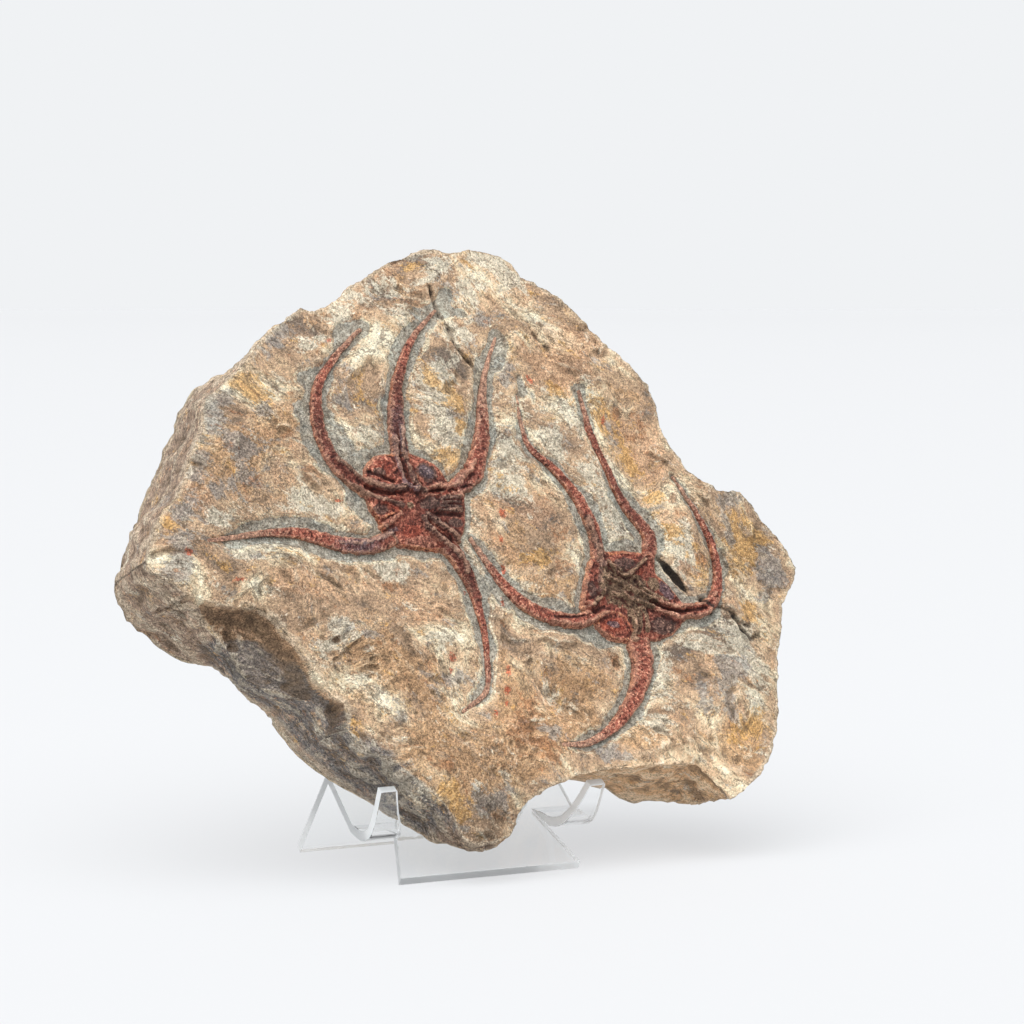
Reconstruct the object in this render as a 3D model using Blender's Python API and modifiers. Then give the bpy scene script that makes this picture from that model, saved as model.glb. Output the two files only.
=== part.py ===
# A slab of stone with two fossil brittle stars in relief on its face, leaning on a clear bent stand.
# Lengths below are millimetres, turned to metres by mm. +X runs along the stand, +Y to its back leg,
# +Z up, and the floor is z = 0.
import math
import bmesh
import bpy
import numpy as np

mm = 0.001
clearance = 0.3              # left open between two pieces that touch

# The slab has a frame of its own: u to the right, v up along its face, w out of its face.
slabLean = 17.0              # degrees from upright
slabFoot = (-14.6, -43.6, 9.6)   # where u = v = w = 0 lies
slabCentre = (28.0, 95.0)    # u, v that every outline is seen from
faceCells = 40               # cells across the face, a multiple of 4
sideLevels = (0.16, 0.42, 0.7, 1.0)  # rings of the sides, as shares of the way to the back

# Outline of the face, u and v, clockwise from the left corner.
faceOutline = [
    (-96, 95), (-93, 101), (-91.5, 106), (-89, 111), (-84, 114.5), (-80.5, 121), (-78, 127.5),
    (-73.5, 134), (-73, 140), (-72, 144), (-67.5, 147), (-60, 153), (-54.5, 159), (-49, 164.5),
    (-42, 169), (-37, 172.5), (-33, 171), (-28, 173), (-23, 176.5), (-17, 181), (-11, 184),
    (-5.5, 187.5), (1, 189), (9, 191.5), (15, 190), (24.5, 191), (33, 189), (36.5, 186),
    (38.5, 181.5), (43, 180), (51, 176), (55, 172.5), (63, 163.5), (65, 160), (71.5, 155),
    (75.5, 151), (79.5, 146), (82.5, 139), (82, 132), (85, 125), (89.5, 117.5), (95, 114),
    (100.5, 111), (108, 110), (112, 106), (115, 100.5), (120.5, 94), (126, 84), (123, 78),
    (118, 72), (116.5, 64), (113.5, 56), (111, 47), (110.5, 40), (108, 30), (104, 22), (99, 17),
    (94, 12.5), (88.5, 10.5), (83, 16.5), (78, 22), (74, 23.5), (62, 23.5), (56, 23), (46, 22.5),
    (36, 22), (30.5, 20.5), (27, 19.5), (23, 18), (19, 16), (16.5, 14), (14.5, 11.5), (13, 9),
    (11.5, 7.5), (10, 5.5), (5, 4.5), (-2, 4.5), (-4.5, 6), (-7, 12), (-9, 15.5), (-12, 19),
    (-17.5, 24.5), (-23.5, 29.5), (-28, 32), (-33, 34.5), (-36, 38), (-40, 42), (-43, 47),
    (-46, 51.5), (-50, 53), (-60, 56), (-66, 60), (-70, 67), (-75, 76), (-79, 81), (-84, 83.5),
    (-88.5, 88), (-94, 91),
]

# Outline where the sides meet the back, u, v and w, clockwise from the left corner.
backOutline = [
    (-95.5, 96.5, -34), (-94, 101, -34), (-91, 106.5, -34), (-88, 112, -34), (-82, 122, -34),
    (-76, 133.5, -34), (-69, 146, -34), (-65, 153, -34), (-61, 155.5, -34), (-55, 156.5, -34),
    (-49, 159, -34), (-41, 164, -33), (-27, 170, -32), (-16, 177, -31), (-5, 183, -30),
    (9, 187, -30), (24, 187, -30), (34, 183, -30), (40, 176, -30), (50, 171, -30), (61, 159, -31),
    (72, 149, -32), (79, 139, -33), (79, 130, -33), (84, 120, -33), (93, 112, -32), (106, 107, -31),
    (115, 97, -31), (121, 84, -32), (116, 74, -32), (112, 60, -33), (107, 46, -34), (105, 32, -34),
    (104, 21, -34), (100, 14.5, -33), (95, 13.5, -34), (82, 15, -34), (71, 15.5, -34),
    (66, 17.5, -34), (62, 21, -34), (55, 23.5, -34), (47, 25.5, -34), (38, 25.5, -34),
    (30, 23.5, -32), (22, 19, -28), (16.5, 13.5, -22), (13, 7.5, -16), (7, 3, -13), (0, 2, -12),
    (-4, 5, -14), (-8, 7, -16), (-11, 10.5, -20), (-14, 14.5, -25), (-18.5, 19.5, -29),
    (-23, 23.5, -31), (-28, 27.5, -33), (-33, 31, -34), (-42, 39, -34), (-47.5, 46, -34),
    (-53, 54.5, -34), (-61, 63, -34), (-67, 68, -34), (-76.5, 71, -34), (-85, 75.5, -34),
    (-90, 79.5, -34), (-93, 83.5, -34), (-95, 90, -34),
]

# Swellings (+) and hollows (-) of the face: u, v, length, width, turn in degrees, height.
faceLumps = [
    (22, 184, 26, 9, -8, 2.2), (58, 150, 20, 15, -50, 2.4), (-60, 132, 26, 16, 60, 1.4),
    (-78, 106, 14, 10, 60, 1.6), (7, 142, 16, 9, 85, 1.0), (-23, 138, 20, 7, 75, 0.9),
    (32, 104, 16, 12, 80, 1.6), (55, 112, 16, 6, 75, 1.2), (84, 96, 15, 8, 70, 1.2),
    (108, 88, 13, 12, 0, -1.8), (63, 79, 12, 9, 0, -1.6), (-30, 74, 26, 12, -25, 2.0),
    (-52, 88, 20, 9, -10, 1.2), (-30, 50, 20, 14, -30, 2.6), (12, 30, 22, 14, 0, 2.4),
    (38, 47, 11, 6, -15, -3.0), (31, 60, 12, 10, 0, 1.2), (96, 45, 16, 26, 10, 2.6),
    (68, 30, 14, 8, 10, 1.2), (84, 68, 12, 8, 0, 0.8), (-8, 108, 15, 13, 0, -0.8),
]

# The scooped break low on the left: its lip runs along this line, and the ground drops below it.
scoopLip = [(-82, 83), (-72, 80), (-63, 78.5), (-58, 75.5), (-54, 69.5), (-51, 65), (-48.5, 60.5),
            (-47.5, 56), (-42, 50.5)]
scoopDepth = 8.0
scoopRun = 4.0               # how far the lip's slope runs
edgeWear = 2.2               # how far the face falls to its worn edge
sideBulge = 0.8              # how far the sides swell out halfway to the back
sideRoughness = 0.9          # how far the broken sides step in and out
sideBands = 360.0            # turns the share of the way back into the waves' measure
prongBulge = 3.1             # more swelling where the slab sits on the left prong,
prongTurn = 237.0            # in this direction from the slab's centre, degrees,
prongSpread = 9.0            # falling off over this angle

# Swellings of the back: u, v, length, width, turn, height out of the back.
backPlane = -36.0
backRoughness = 1.3
backRim = 0.22               # share of the back that rises from its edge
backLumps = [(12, 44, 34, 15, 0, 10.4), (40, 120, 40, 26, 30, 3.0), (-40, 120, 26, 30, 0, 2.5),
             (85, 60, 22, 20, 0, -2.0)]

# Low on the back the stone keeps clear of the stand's sloping panel, up to u = panelEnd.
panelReach = 20.8
panelSlope = 1.25
panelEnd = 50.0

# Each arm: points u, v along its middle with its width, from the disc outwards.
leftStarArms = [
    [(-16, 107, 5.0), (-24, 114, 5.0), (-31.5, 120.5, 5.0), (-36, 128, 4.6), (-38, 137, 4.2),
     (-36.5, 147, 3.4), (-30, 155.5, 2.6), (-19.5, 165, 1.6)],
    [(-8, 108, 4.8), (-9, 115, 4.8), (-11, 125, 4.6), (-11, 137, 4.6), (-8.5, 149, 3.6),
     (-2, 161.5, 2.6), (7.5, 171, 1.6)],
    [(-2, 107, 5.2), (5, 112, 6.0), (12, 116.5, 6.2), (15.5, 123, 5.0), (18, 132, 4.2),
     (19, 143, 3.0), (22.5, 154, 2.2), (26.5, 162, 1.4)],
    [(-10, 104, 5.0), (-15, 99.5, 5.0), (-23, 97, 4.8), (-33, 97.5, 4.2), (-45, 101, 3.4),
     (-56, 102, 2.6), (-67, 101, 2.0), (-76.5, 100, 1.4)],
    [(-6, 105, 5.4), (-1, 99, 5.6), (4, 92, 5.2), (8, 83, 4.4), (9.7, 72, 3.4), (10, 60, 2.8),
     (8, 50, 2.2), (-1, 44, 1.6)],
]
rightStarArms = [
    [(56, 80, 4.6), (53, 90, 4.4), (52, 99, 4.2), (48, 109.5, 4.0), (42, 118, 3.2),
     (34, 126, 2.4), (32, 134, 1.8), (31.7, 143, 1.4)],
    [(66, 81, 4.6), (70.5, 89, 4.4), (71, 98, 4.0), (65, 106, 3.4), (60, 117.5, 2.8),
     (56, 129, 2.2), (53, 144, 1.4)],
    [(66, 75, 5.0), (74, 72.5, 5.0), (83, 71.3, 4.8), (90.5, 73.5, 4.4), (95, 82, 3.4),
     (94.5, 93, 2.4), (90, 103, 1.8), (83.5, 115.5, 1.2)],
    [(57, 74, 5.0), (50, 72.5, 5.0), (42, 70, 4.8), (32, 72.5, 4.4), (23, 78, 4.0),
     (17, 85.5, 3.2), (9.5, 98, 1.8)],
    [(61, 73, 6.4), (62.5, 65, 7.4), (63, 55, 6.8), (58.5, 44.5, 5.4), (51, 37, 4.2),
     (41, 32, 3.0), (31, 32, 1.8)],
]
leftStarDisc = [(-23, 116), (-15, 124.5), (-9, 123), (-3, 121.5), (5, 115), (10, 107), (7.5, 99),
                (0, 95.5), (-6, 96.5), (-14, 97.5), (-20.5, 101.5), (-21.5, 108)]
rightStarDisc = [(47, 76), (51.5, 86), (56, 91.5), (65, 91.5), (72.5, 87), (79, 77), (79.5, 68.5),
                 (71, 63), (64, 64), (58, 63), (50, 68.5)]
armThickness = 0.62          # of an arm's width
discThickness = 3.4
discRise = 0.9               # how far the disc's middle stands out of the face
discShoulder = 0.55          # share of its height and of its width where the dome levels off

stoneColour = (0.50, 0.37, 0.25)
fossilColour = (0.30, 0.10, 0.07)
acrylicColour = (0.95, 0.96, 0.97)

# The stand: one clear sheet, bent along its fold and at its two prongs. Depths run forward
# from the back foot.
sheetThickness = 3.0
standWidth = 76.0
standBack = 35.4             # y of the back foot
standCentre = -4.9           # x of its middle
foldDepth = 25.8
foldHeight = 27.9
foldRadius = 2.4
foldSteps = 4
footTrim = 4.0               # the sheet runs this far past its feet before they are cut level
frontFootDepth = 66.2
prongRootDepth = 44.5        # where the prongs leave the panel
tongueTopWidth = 47.4
tongueFootWidth = 62.4
# Each prong beyond its root: depth, height and width.
leftProngPath = [(48.5, 14.2, 12.6), (52.5, 13.8, 11.6), (57, 15.0, 10.6), (60.5, 18.4, 9.2),
                 (63.3, 23.5, 7.2), (66.5, 30.2, 5.4)]
rightProngPath = [(48.5, 14.0, 12.6), (52.5, 13.2, 11.6), (57, 14.2, 10.6), (60.5, 17.2, 9.2),
                  (63.3, 21.7, 7.2), (66.2, 27.2, 5.4)]


def distanceToLine(u, v, points):
    # Distance from each place to a bent line, and on which side of it the place lies (+ is left).
    nearest = np.full(np.shape(u), 1e9)
    side = np.ones(np.shape(u))
    for (au, av), (bu, bv) in zip(points[:-1], points[1:]):
        du, dv = bu - au, bv - av
        along = np.clip(((u - au) * du + (v - av) * dv) / (du * du + dv * dv), 0, 1)
        gap = np.hypot(u - au - along * du, v - av - along * dv)
        turn = du * (v - av) - dv * (u - au)
        side = np.where(gap < nearest, np.sign(turn), side)
        nearest = np.minimum(nearest, gap)
    return nearest, side


def lumpHeight(u, v, lumps):
    # Sum of oval swellings that fall off as a bell curve.
    height = np.zeros(np.shape(u))
    for cu, cv, length, width, turn, rise in lumps:
        c = math.cos(math.radians(turn))
        s = math.sin(math.radians(turn))
        along = ((u - cu) * c + (v - cv) * s) / length
        across = (-(u - cu) * s + (v - cv) * c) / width
        height = height + rise * np.exp(-(along ** 2 + across ** 2))
    return height


def faceHeight(u, v):
    # Relief of the face: the lumps and the scoop.
    gap, side = distanceToLine(u, v, scoopLip)
    drop = np.clip(-side * gap / scoopRun, 0, 1)
    inScoop = (u < -40) & (v < 84)
    return lumpHeight(u, v, faceLumps) - np.where(inScoop, scoopDepth * drop ** 0.7, 0)


def brokenWaves(x, y):
    # Uneven waves between about -1 and 1, for ledges on broken stone.
    waves = np.sin(0.21 * x + 1.3 * np.sin(0.13 * y)) + np.sin(0.17 * y - 1.1 * np.sin(0.11 * x + 2))
    return (waves + np.sin(0.43 * x + 0.29 * y + 1.7)) / 2.4


def backHeight(u, v):
    return backPlane - lumpHeight(u, v, backLumps) - backRoughness * brokenWaves(u, v)


def outlineRadius(outline, angles):
    # Distance from the slab's centre to an outline in each direction, and the outline's third
    # value there if it has one.
    points = np.array(outline, float)
    du = points[:, 0] - slabCentre[0]
    dv = points[:, 1] - slabCentre[1]
    turn = np.unwrap(np.arctan2(dv, du))
    order = np.argsort(turn)
    turn = turn[order]
    radius = np.hypot(du, dv)[order]
    radiusThere = np.interp(angles, turn, radius, period=2 * math.pi)
    if points.shape[1] == 2:
        return radiusThere, None
    return radiusThere, np.interp(angles, turn, points[order, 2], period=2 * math.pi)


def rimAngles(count):
    # Directions that step evenly along the face's outline.
    closed = np.array(faceOutline + faceOutline[:1], float)
    steps = np.hypot(*np.diff(closed, axis=0).T)
    reach = np.concatenate([[0], np.cumsum(steps)])
    at = np.arange(count) * reach[-1] / count
    u = np.interp(at, reach, closed[:, 0])
    v = np.interp(at, reach, closed[:, 1])
    return np.arctan2(v - slabCentre[1], u - slabCentre[0])


def discGrid(cells):
    # A square grid seen as rings: for each grid point its ring (0 to 1) and its place along the
    # rim (0 to 4 * cells), clockwise from the middle of the left side.
    half = cells // 2
    i, j = np.meshgrid(np.arange(cells + 1) - half, np.arange(cells + 1) - half, indexing="ij")
    ring = np.maximum(np.abs(i), np.abs(j))
    safe = np.maximum(ring, 1)
    x = i / safe
    y = j / safe
    left = (x == -1) & (y < 1) & (y >= -1)
    top = (y == 1) & (x < 1)
    right = (x == 1) & (y > -1)
    turn = np.where(left, y + 1, np.where(top, 3 + x, np.where(right, 5 - y, 7 - x)))
    return ring / half, (turn - 1) % 8 / 8 * 4 * cells


def gridFaces(grid):
    # Two triangles a cell, split so that the edge between them points to the grid's middle.
    cells = grid.shape[0] - 1
    i, j = np.meshgrid(np.arange(cells), np.arange(cells), indexing="ij")
    outward = ((i - cells / 2 + 0.5) * (j - cells / 2 + 0.5) > 0).ravel()[:, None]
    a = grid[:-1, :-1].ravel()
    b = grid[1:, :-1].ravel()
    c = grid[1:, 1:].ravel()
    d = grid[:-1, 1:].ravel()
    first = np.where(outward, np.stack([a, b, c], -1), np.stack([a, b, d], -1))
    second = np.where(outward, np.stack([a, c, d], -1), np.stack([b, c, d], -1))
    return np.concatenate([first, second])


def dished(outline, cells, heights):
    # Points of a round grid inside an outline, and the order in which its edge points go round.
    ring, place = discGrid(cells)
    around = len(outline)
    low = np.floor(place).astype(int) % around
    high = (low + 1) % around
    share = (place - np.floor(place))[..., None]
    edge = outline[low] * (1 - share) + outline[high] * share
    centre = np.array(slabCentre)
    uv = centre + ring[..., None] * (edge[..., :2] - centre)
    w = heights(uv[..., 0], uv[..., 1], ring, edge[..., 2])
    order = np.empty(around, int)
    rim = ring == 1
    order[np.round(place[rim]).astype(int) % around] = np.arange(ring.size).reshape(ring.shape)[rim]
    return np.concatenate([uv, w[..., None]], -1), order


def faceSurface(u, v, ring, edge):
    return faceHeight(u, v) - edgeWear * ring ** 10


def backSurface(u, v, ring, edge):
    # The back rises from its edge to the rough middle.
    blend = np.clip((1 - ring) / backRim, 0, 1) ** 0.8
    w = edge * (1 - blend) + backHeight(u, v) * blend
    clear = v + panelReach + np.clip(u - panelEnd, 0, None)
    return np.maximum(w, -clear / panelSlope)


def slabMesh():
    # A loft from the face over the sides to a back with half as many cells.
    around = 4 * faceCells
    angles = rimAngles(around)
    direction = np.stack([np.cos(angles), np.sin(angles)], -1)
    faceRadius = outlineRadius(faceOutline, angles)[0]
    backRadius, backRim = outlineRadius(backOutline, angles)
    centre = np.array(slabCentre)

    def outlineAt(radius, w):
        return np.column_stack([centre + direction * radius[:, None], w])

    face, faceRim = dished(outlineAt(faceRadius, 0 * faceRadius), faceCells, faceSurface)
    points = [face.reshape(-1, 3)]
    faces = [gridFaces(np.arange(face[..., 0].size).reshape(face.shape[:2]))]
    rimW = points[0][faceRim, 2]
    before = faceRim
    total = len(points[0])
    for depth in sideLevels[:-1]:
        out = sideSwell(angles) * math.sin(math.pi * depth ** 0.7)
        out = out + sideRoughness * brokenWaves(140 * angles, np.full(around, sideBands * depth))
        radius = faceRadius * (1 - depth) + backRadius * depth + out
        points.append(outlineAt(radius, rimW * (1 - depth) + backRim * depth))
        now = total + np.arange(around)
        total += around
        faces.append(np.stack([before, np.roll(before, -1), np.roll(now, -1)], -1))
        faces.append(np.stack([before, np.roll(now, -1), now], -1))
        before = now
    back, backEdge = dished(outlineAt(backRadius, backRim)[::2], faceCells // 2, backSurface)
    points.append(back.reshape(-1, 3))
    grid = total + np.arange(back[..., 0].size).reshape(back.shape[:2])
    faces.append(gridFaces(grid)[:, ::-1])
    now = total + backEdge
    ahead = np.roll(now, -1)
    faces.append(np.stack([before[::2], before[1::2], now], -1))
    faces.append(np.stack([before[1::2], ahead, now], -1))
    faces.append(np.stack([before[1::2], np.roll(before[::2], -1), ahead], -1))
    return np.concatenate(points), np.concatenate(faces)


def sideSwell(angles):
    # The sides bulge a little; more where the slab sits on the left prong.
    away = (np.degrees(angles) % 360 - prongTurn) / prongSpread
    return sideBulge + prongBulge * np.exp(-away ** 2)


def newMaterial(name, colour, roughness, alpha=1.0):
    material = bpy.data.materials.new(name)
    material.use_nodes = True
    shader = material.node_tree.nodes["Principled BSDF"]
    shader.inputs["Base Color"].default_value = (*colour, 1.0)
    shader.inputs["Roughness"].default_value = roughness
    shader.inputs["Metallic"].default_value = 0.0
    if alpha < 1:
        shader.inputs["Transmission Weight"].default_value = 1.0
        shader.inputs["IOR"].default_value = 1.49
    material.diffuse_color = (*colour, alpha)
    return material


def addObject(name, mesh, collection, material=None):
    thing = bpy.data.objects.new(name, mesh)
    collection.objects.link(thing)
    if material:
        mesh.materials.append(material)
    return thing


def shadeRound(mesh):
    mesh.shade_smooth()
    mesh.set_sharp_from_angle(angle=math.radians(35))


def placeInSlab(thing):
    # Objects made in the slab's own frame are stood on its foot and leaned back.
    thing.location = [value * mm for value in slabFoot]
    thing.rotation_euler = (math.radians(90 - slabLean), 0, 0)


def makeSlab(collection, material):
    points, faces = slabMesh()
    mesh = bpy.data.meshes.new("stone_slab")
    mesh.from_pydata((points * mm).tolist(), [], faces.tolist())
    work = bmesh.new()
    work.from_mesh(mesh)
    bmesh.ops.recalc_face_normals(work, faces=work.faces)
    work.to_mesh(mesh)
    work.free()
    shadeRound(mesh)
    slab = addObject("stone_slab", mesh, collection, material)
    placeInSlab(slab)
    return slab


def meshFromCurve(curve, name, collection):
    # The evaluated curve as a closed mesh with its caps welded.
    thing = bpy.data.objects.new(name, curve)
    bpy.context.scene.collection.objects.link(thing)
    bpy.context.view_layer.update()
    evaluated = thing.evaluated_get(bpy.context.evaluated_depsgraph_get())
    mesh = bpy.data.meshes.new_from_object(evaluated)
    bpy.data.objects.remove(thing)
    work = bmesh.new()
    work.from_mesh(mesh)
    bmesh.ops.remove_doubles(work, verts=work.verts, dist=0.00002)
    bmesh.ops.recalc_face_normals(work, faces=work.faces)
    work.to_mesh(mesh)
    work.free()
    shadeRound(mesh)
    return addObject(name, mesh, collection)


def makeArm(name, arm, grow, collection):
    # A tapering rod along the arm, then flattened to the arm's thickness on the face.
    curve = bpy.data.curves.new(name, "CURVE")
    curve.dimensions = "3D"
    curve.bevel_depth = mm
    curve.bevel_resolution = 2
    curve.use_fill_caps = True
    spline = curve.splines.new("POLY")
    spline.points.add(len(arm) - 1)
    middle = np.array(arm)[:, :2]
    tip = middle[-1] - middle[-2]
    middle[-1] += tip / np.hypot(*tip) * grow
    widths = [width for u, v, width in arm]
    for point, (u, v), width in zip(spline.points, middle, widths):
        point.co = (u * mm, v * mm, 0, 1)
        point.radius = width / 2 + grow
    rod = meshFromCurve(curve, name, collection)
    for vertex in rod.data.vertices:
        gaps = np.hypot(middle[:, 0] * mm - vertex.co.x, middle[:, 1] * mm - vertex.co.y)
        nearest = np.argmin(gaps)
        half = widths[nearest] / 2
        flatness = (armThickness * half + grow) / (half + grow)
        vertex.co.z = vertex.co.z * flatness + float(faceHeight(*middle[nearest])) * mm
    return rod


def makeDisc(name, outline, grow, collection):
    # A low dome over the disc's outline: three rings above and two below a wide middle.
    points = np.array(outline, float)
    centre = points.mean(axis=0)
    spokes = points - centre
    reach = np.hypot(spokes[:, 0], spokes[:, 1])[:, None]
    spokes = spokes * (reach + grow) / reach
    lift = float(faceHeight(centre[0], centre[1]))
    half = discThickness / 2 + grow
    levels = [(discShoulder, discRise + half), (0.9, discShoulder * half + discRise / 2), (1.0, 0.0),
              (0.85, -0.7 * half), (0.5, -half)]
    work = bmesh.new()
    rings = []
    for scale, height in levels:
        ring = [work.verts.new(((centre[0] + du * scale) * mm, (centre[1] + dv * scale) * mm,
                                (lift + height) * mm)) for du, dv in spokes]
        rings.append(ring)
    sides = len(points)
    for upper, lower in zip(rings[:-1], rings[1:]):
        for k in range(sides):
            work.faces.new((upper[k], upper[(k + 1) % sides], lower[(k + 1) % sides], lower[k]))
    top = work.verts.new((centre[0] * mm, centre[1] * mm, (lift + half + discRise) * mm))
    bottom = work.verts.new((centre[0] * mm, centre[1] * mm, (lift - half) * mm))
    for k in range(sides):
        work.faces.new((top, rings[0][(k + 1) % sides], rings[0][k]))
        work.faces.new((bottom, rings[-1][k], rings[-1][(k + 1) % sides]))
    bmesh.ops.recalc_face_normals(work, faces=work.faces)
    mesh = bpy.data.meshes.new(name)
    work.to_mesh(mesh)
    work.free()
    shadeRound(mesh)
    return addObject(name, mesh, collection)


def joinPieces(body, others, operation):
    for other in others:
        change = body.modifiers.new(operation.lower() + "_" + other.name, "BOOLEAN")
        change.operation = operation
        change.object = other
        change.solver = "EXACT"


def makeStar(name, arms, disc, grow, collection, cutters):
    # The disc with its five arms joined in. grow makes the larger one that cuts the pocket.
    star = makeDisc(name, disc, grow, collection)
    rods = [makeArm("{}_arm_{}".format(name, k + 1), arm, grow, cutters)
            for k, arm in enumerate(arms)]
    joinPieces(star, rods, "UNION")
    for piece in [star] + rods:
        placeInSlab(piece)
    return star


def sheetRows():
    # Depth and height of the sheet's middle from the back foot over the fold to the prong root,
    # with the fold rounded.
    riseAngle = math.atan2(foldHeight, foldDepth)
    fallAngle = math.atan2(foldHeight, frontFootDepth - foldDepth)
    reach = foldRadius * math.tan((riseAngle + fallAngle) / 2)
    rows = [(-footTrim, -footTrim * math.tan(riseAngle))]
    start = (foldDepth - reach * math.cos(riseAngle), foldHeight - reach * math.sin(riseAngle))
    centre = (start[0] + foldRadius * math.sin(riseAngle), start[1] - foldRadius * math.cos(riseAngle))
    for step in range(foldSteps + 1):
        turn = riseAngle - (riseAngle + fallAngle) * step / foldSteps
        rows.append((centre[0] - foldRadius * math.sin(turn), centre[1] + foldRadius * math.cos(turn)))
    slope = foldHeight / (frontFootDepth - foldDepth)
    rows.append((prongRootDepth, (frontFootDepth - prongRootDepth) * slope))
    foot = (frontFootDepth + footTrim, -footTrim * slope)
    return rows, foot


def makeStand(collection, cutters, material):
    # An open surface of strips, made solid to the sheet's thickness, with its feet cut level.
    rows, foot = sheetRows()
    half = standWidth / 2
    columns = [-half, -tongueTopWidth / 2, tongueTopWidth / 2, half]
    work = bmesh.new()

    def vertex(x, depth, height):
        return work.verts.new(((standCentre + x) * mm, (standBack - depth) * mm, height * mm))

    grid = [[vertex(x, depth, height) for x in columns] for depth, height in rows]
    for lower, upper in zip(grid[:-1], grid[1:]):
        for k in range(3):
            work.faces.new((lower[k], lower[k + 1], upper[k + 1], upper[k]))
    root = grid[-1]
    # The tongue widens in line with the prongs' taper, past the foot to the level cut.
    slopeOut = (tongueFootWidth - tongueTopWidth) / 2 / (frontFootDepth - prongRootDepth)
    footHalf = tongueTopWidth / 2 + slopeOut * (foot[0] - prongRootDepth)
    tongue = [vertex(-footHalf, *foot), vertex(footHalf, *foot)]
    work.faces.new((root[1], root[2], tongue[1], tongue[0]))
    for side, path, outer, inner in ((-1, leftProngPath, root[0], root[1]),
                                     (1, rightProngPath, root[3], root[2])):
        before = (outer, inner)
        for depth, height, width in path:
            now = (vertex(side * half, depth, height), vertex(side * (half - width), depth, height))
            work.faces.new((before[0], before[1], now[1], now[0]))
            before = now
    bmesh.ops.recalc_face_normals(work, faces=work.faces)
    mesh = bpy.data.meshes.new("display_stand")
    work.to_mesh(mesh)
    work.free()
    stand = addObject("display_stand", mesh, collection, material)
    thicken = stand.modifiers.new("sheet", "SOLIDIFY")
    thicken.thickness = sheetThickness * mm
    thicken.offset = 0
    thicken.use_even_offset = True
    bpy.ops.mesh.primitive_cube_add(size=1, location=(0, 0, -0.02))
    floor = bpy.context.object
    floor.name = "floor_cut"
    floor.scale = (0.3, 0.3, 0.04)
    bpy.ops.object.transform_apply(location=False, rotation=False, scale=True)
    for holder in floor.users_collection:
        holder.objects.unlink(floor)
    cutters.objects.link(floor)
    joinPieces(stand, [floor], "DIFFERENCE")
    return stand


def main():
    for thing in list(bpy.data.objects):
        bpy.data.objects.remove(thing)
    parts = bpy.data.collections.new("brittle_star_fossil")
    cutters = bpy.data.collections.new("cutters")
    for collection in (parts, cutters):
        bpy.context.scene.collection.children.link(collection)

    stone = newMaterial("stone", stoneColour, 0.9)
    fossil = newMaterial("fossil", fossilColour, 0.75)
    acrylic = newMaterial("acrylic", acrylicColour, 0.03, alpha=0.3)

    slab = makeSlab(parts, stone)
    for name, arms, disc in (("brittle_star_left", leftStarArms, leftStarDisc),
                             ("brittle_star_right", rightStarArms, rightStarDisc)):
        star = makeStar(name, arms, disc, 0.0, parts, cutters)
        star.data.materials.append(fossil)
        pocket = makeStar(name + "_pocket", arms, disc, clearance, cutters, cutters)
        joinPieces(slab, [pocket], "DIFFERENCE")
    makeStand(parts, cutters, acrylic)
    for cutter in cutters.objects:
        cutter.hide_render = True
        cutter.display_type = "WIRE"


main()
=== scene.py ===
import itertools
import math
import bmesh
import bpy
import numpy as np
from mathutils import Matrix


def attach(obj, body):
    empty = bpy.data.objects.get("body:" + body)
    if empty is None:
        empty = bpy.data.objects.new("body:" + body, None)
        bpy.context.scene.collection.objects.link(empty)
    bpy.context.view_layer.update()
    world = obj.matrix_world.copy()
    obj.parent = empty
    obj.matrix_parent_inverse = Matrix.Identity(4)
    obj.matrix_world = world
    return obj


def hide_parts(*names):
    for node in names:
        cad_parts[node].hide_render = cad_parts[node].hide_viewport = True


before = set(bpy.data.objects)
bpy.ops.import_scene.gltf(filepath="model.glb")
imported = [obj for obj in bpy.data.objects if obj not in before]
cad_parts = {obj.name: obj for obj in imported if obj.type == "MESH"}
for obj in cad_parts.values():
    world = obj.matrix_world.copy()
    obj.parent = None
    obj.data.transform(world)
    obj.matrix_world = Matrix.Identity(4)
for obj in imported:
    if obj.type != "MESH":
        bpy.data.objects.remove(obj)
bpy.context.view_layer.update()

mm = 0.001

gradients = np.random.default_rng(7).normal(size=(64, 64, 64, 3))
gradients /= np.linalg.norm(gradients, axis=-1, keepdims=True)


def smoothNoise(place, cell, seed=0):
    # Noise near -1 to 1 on a lattice of cell mm: n = sum of s(t) (g . d) over the 8 corners,
    # with s(t) = t^3 (6 t^2 - 15 t + 10).
    q = place / cell + seed * 17.31
    low = np.floor(q).astype(int)
    t = q - low
    blend = t ** 3 * (t * (6 * t - 15) + 10)
    total = np.zeros(len(q))
    for corner in itertools.product((0, 1), repeat=3):
        i = (low + corner) & 63
        g = gradients[i[:, 0], i[:, 1], i[:, 2]]
        share = np.prod(np.where(corner, blend, 1 - blend), axis=1)
        total += share * np.einsum("ij,ij->i", g, t - corner)
    return 1.6 * total


def roughNoise(place, cell, seed, octaves, keep=0.5):
    # Sum of keep^k n(cell / 2^k).
    return sum(keep ** k * smoothNoise(place, cell / 2 ** k, seed + k) for k in range(octaves))


def rise(x, low, high):
    # s(t) = t^2 (3 - 2 t), t from 0 at low to 1 at high.
    t = np.clip((x - low) / (high - low), 0, 1)
    return t * t * (3 - 2 * t)


def ovals(u, v, lumps):
    # Sum of h exp(-(a / length)^2 - (b / width)^2), a and b along and across each turned oval.
    total = np.zeros(np.shape(u))
    for cu, cv, length, width, turn, height in lumps:
        c = math.cos(math.radians(turn))
        s = math.sin(math.radians(turn))
        along = ((u - cu) * c + (v - cv) * s) / length
        across = (-(u - cu) * s + (v - cv) * c) / width
        total = total + height * np.exp(-(along ** 2 + across ** 2))
    return total


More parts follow.
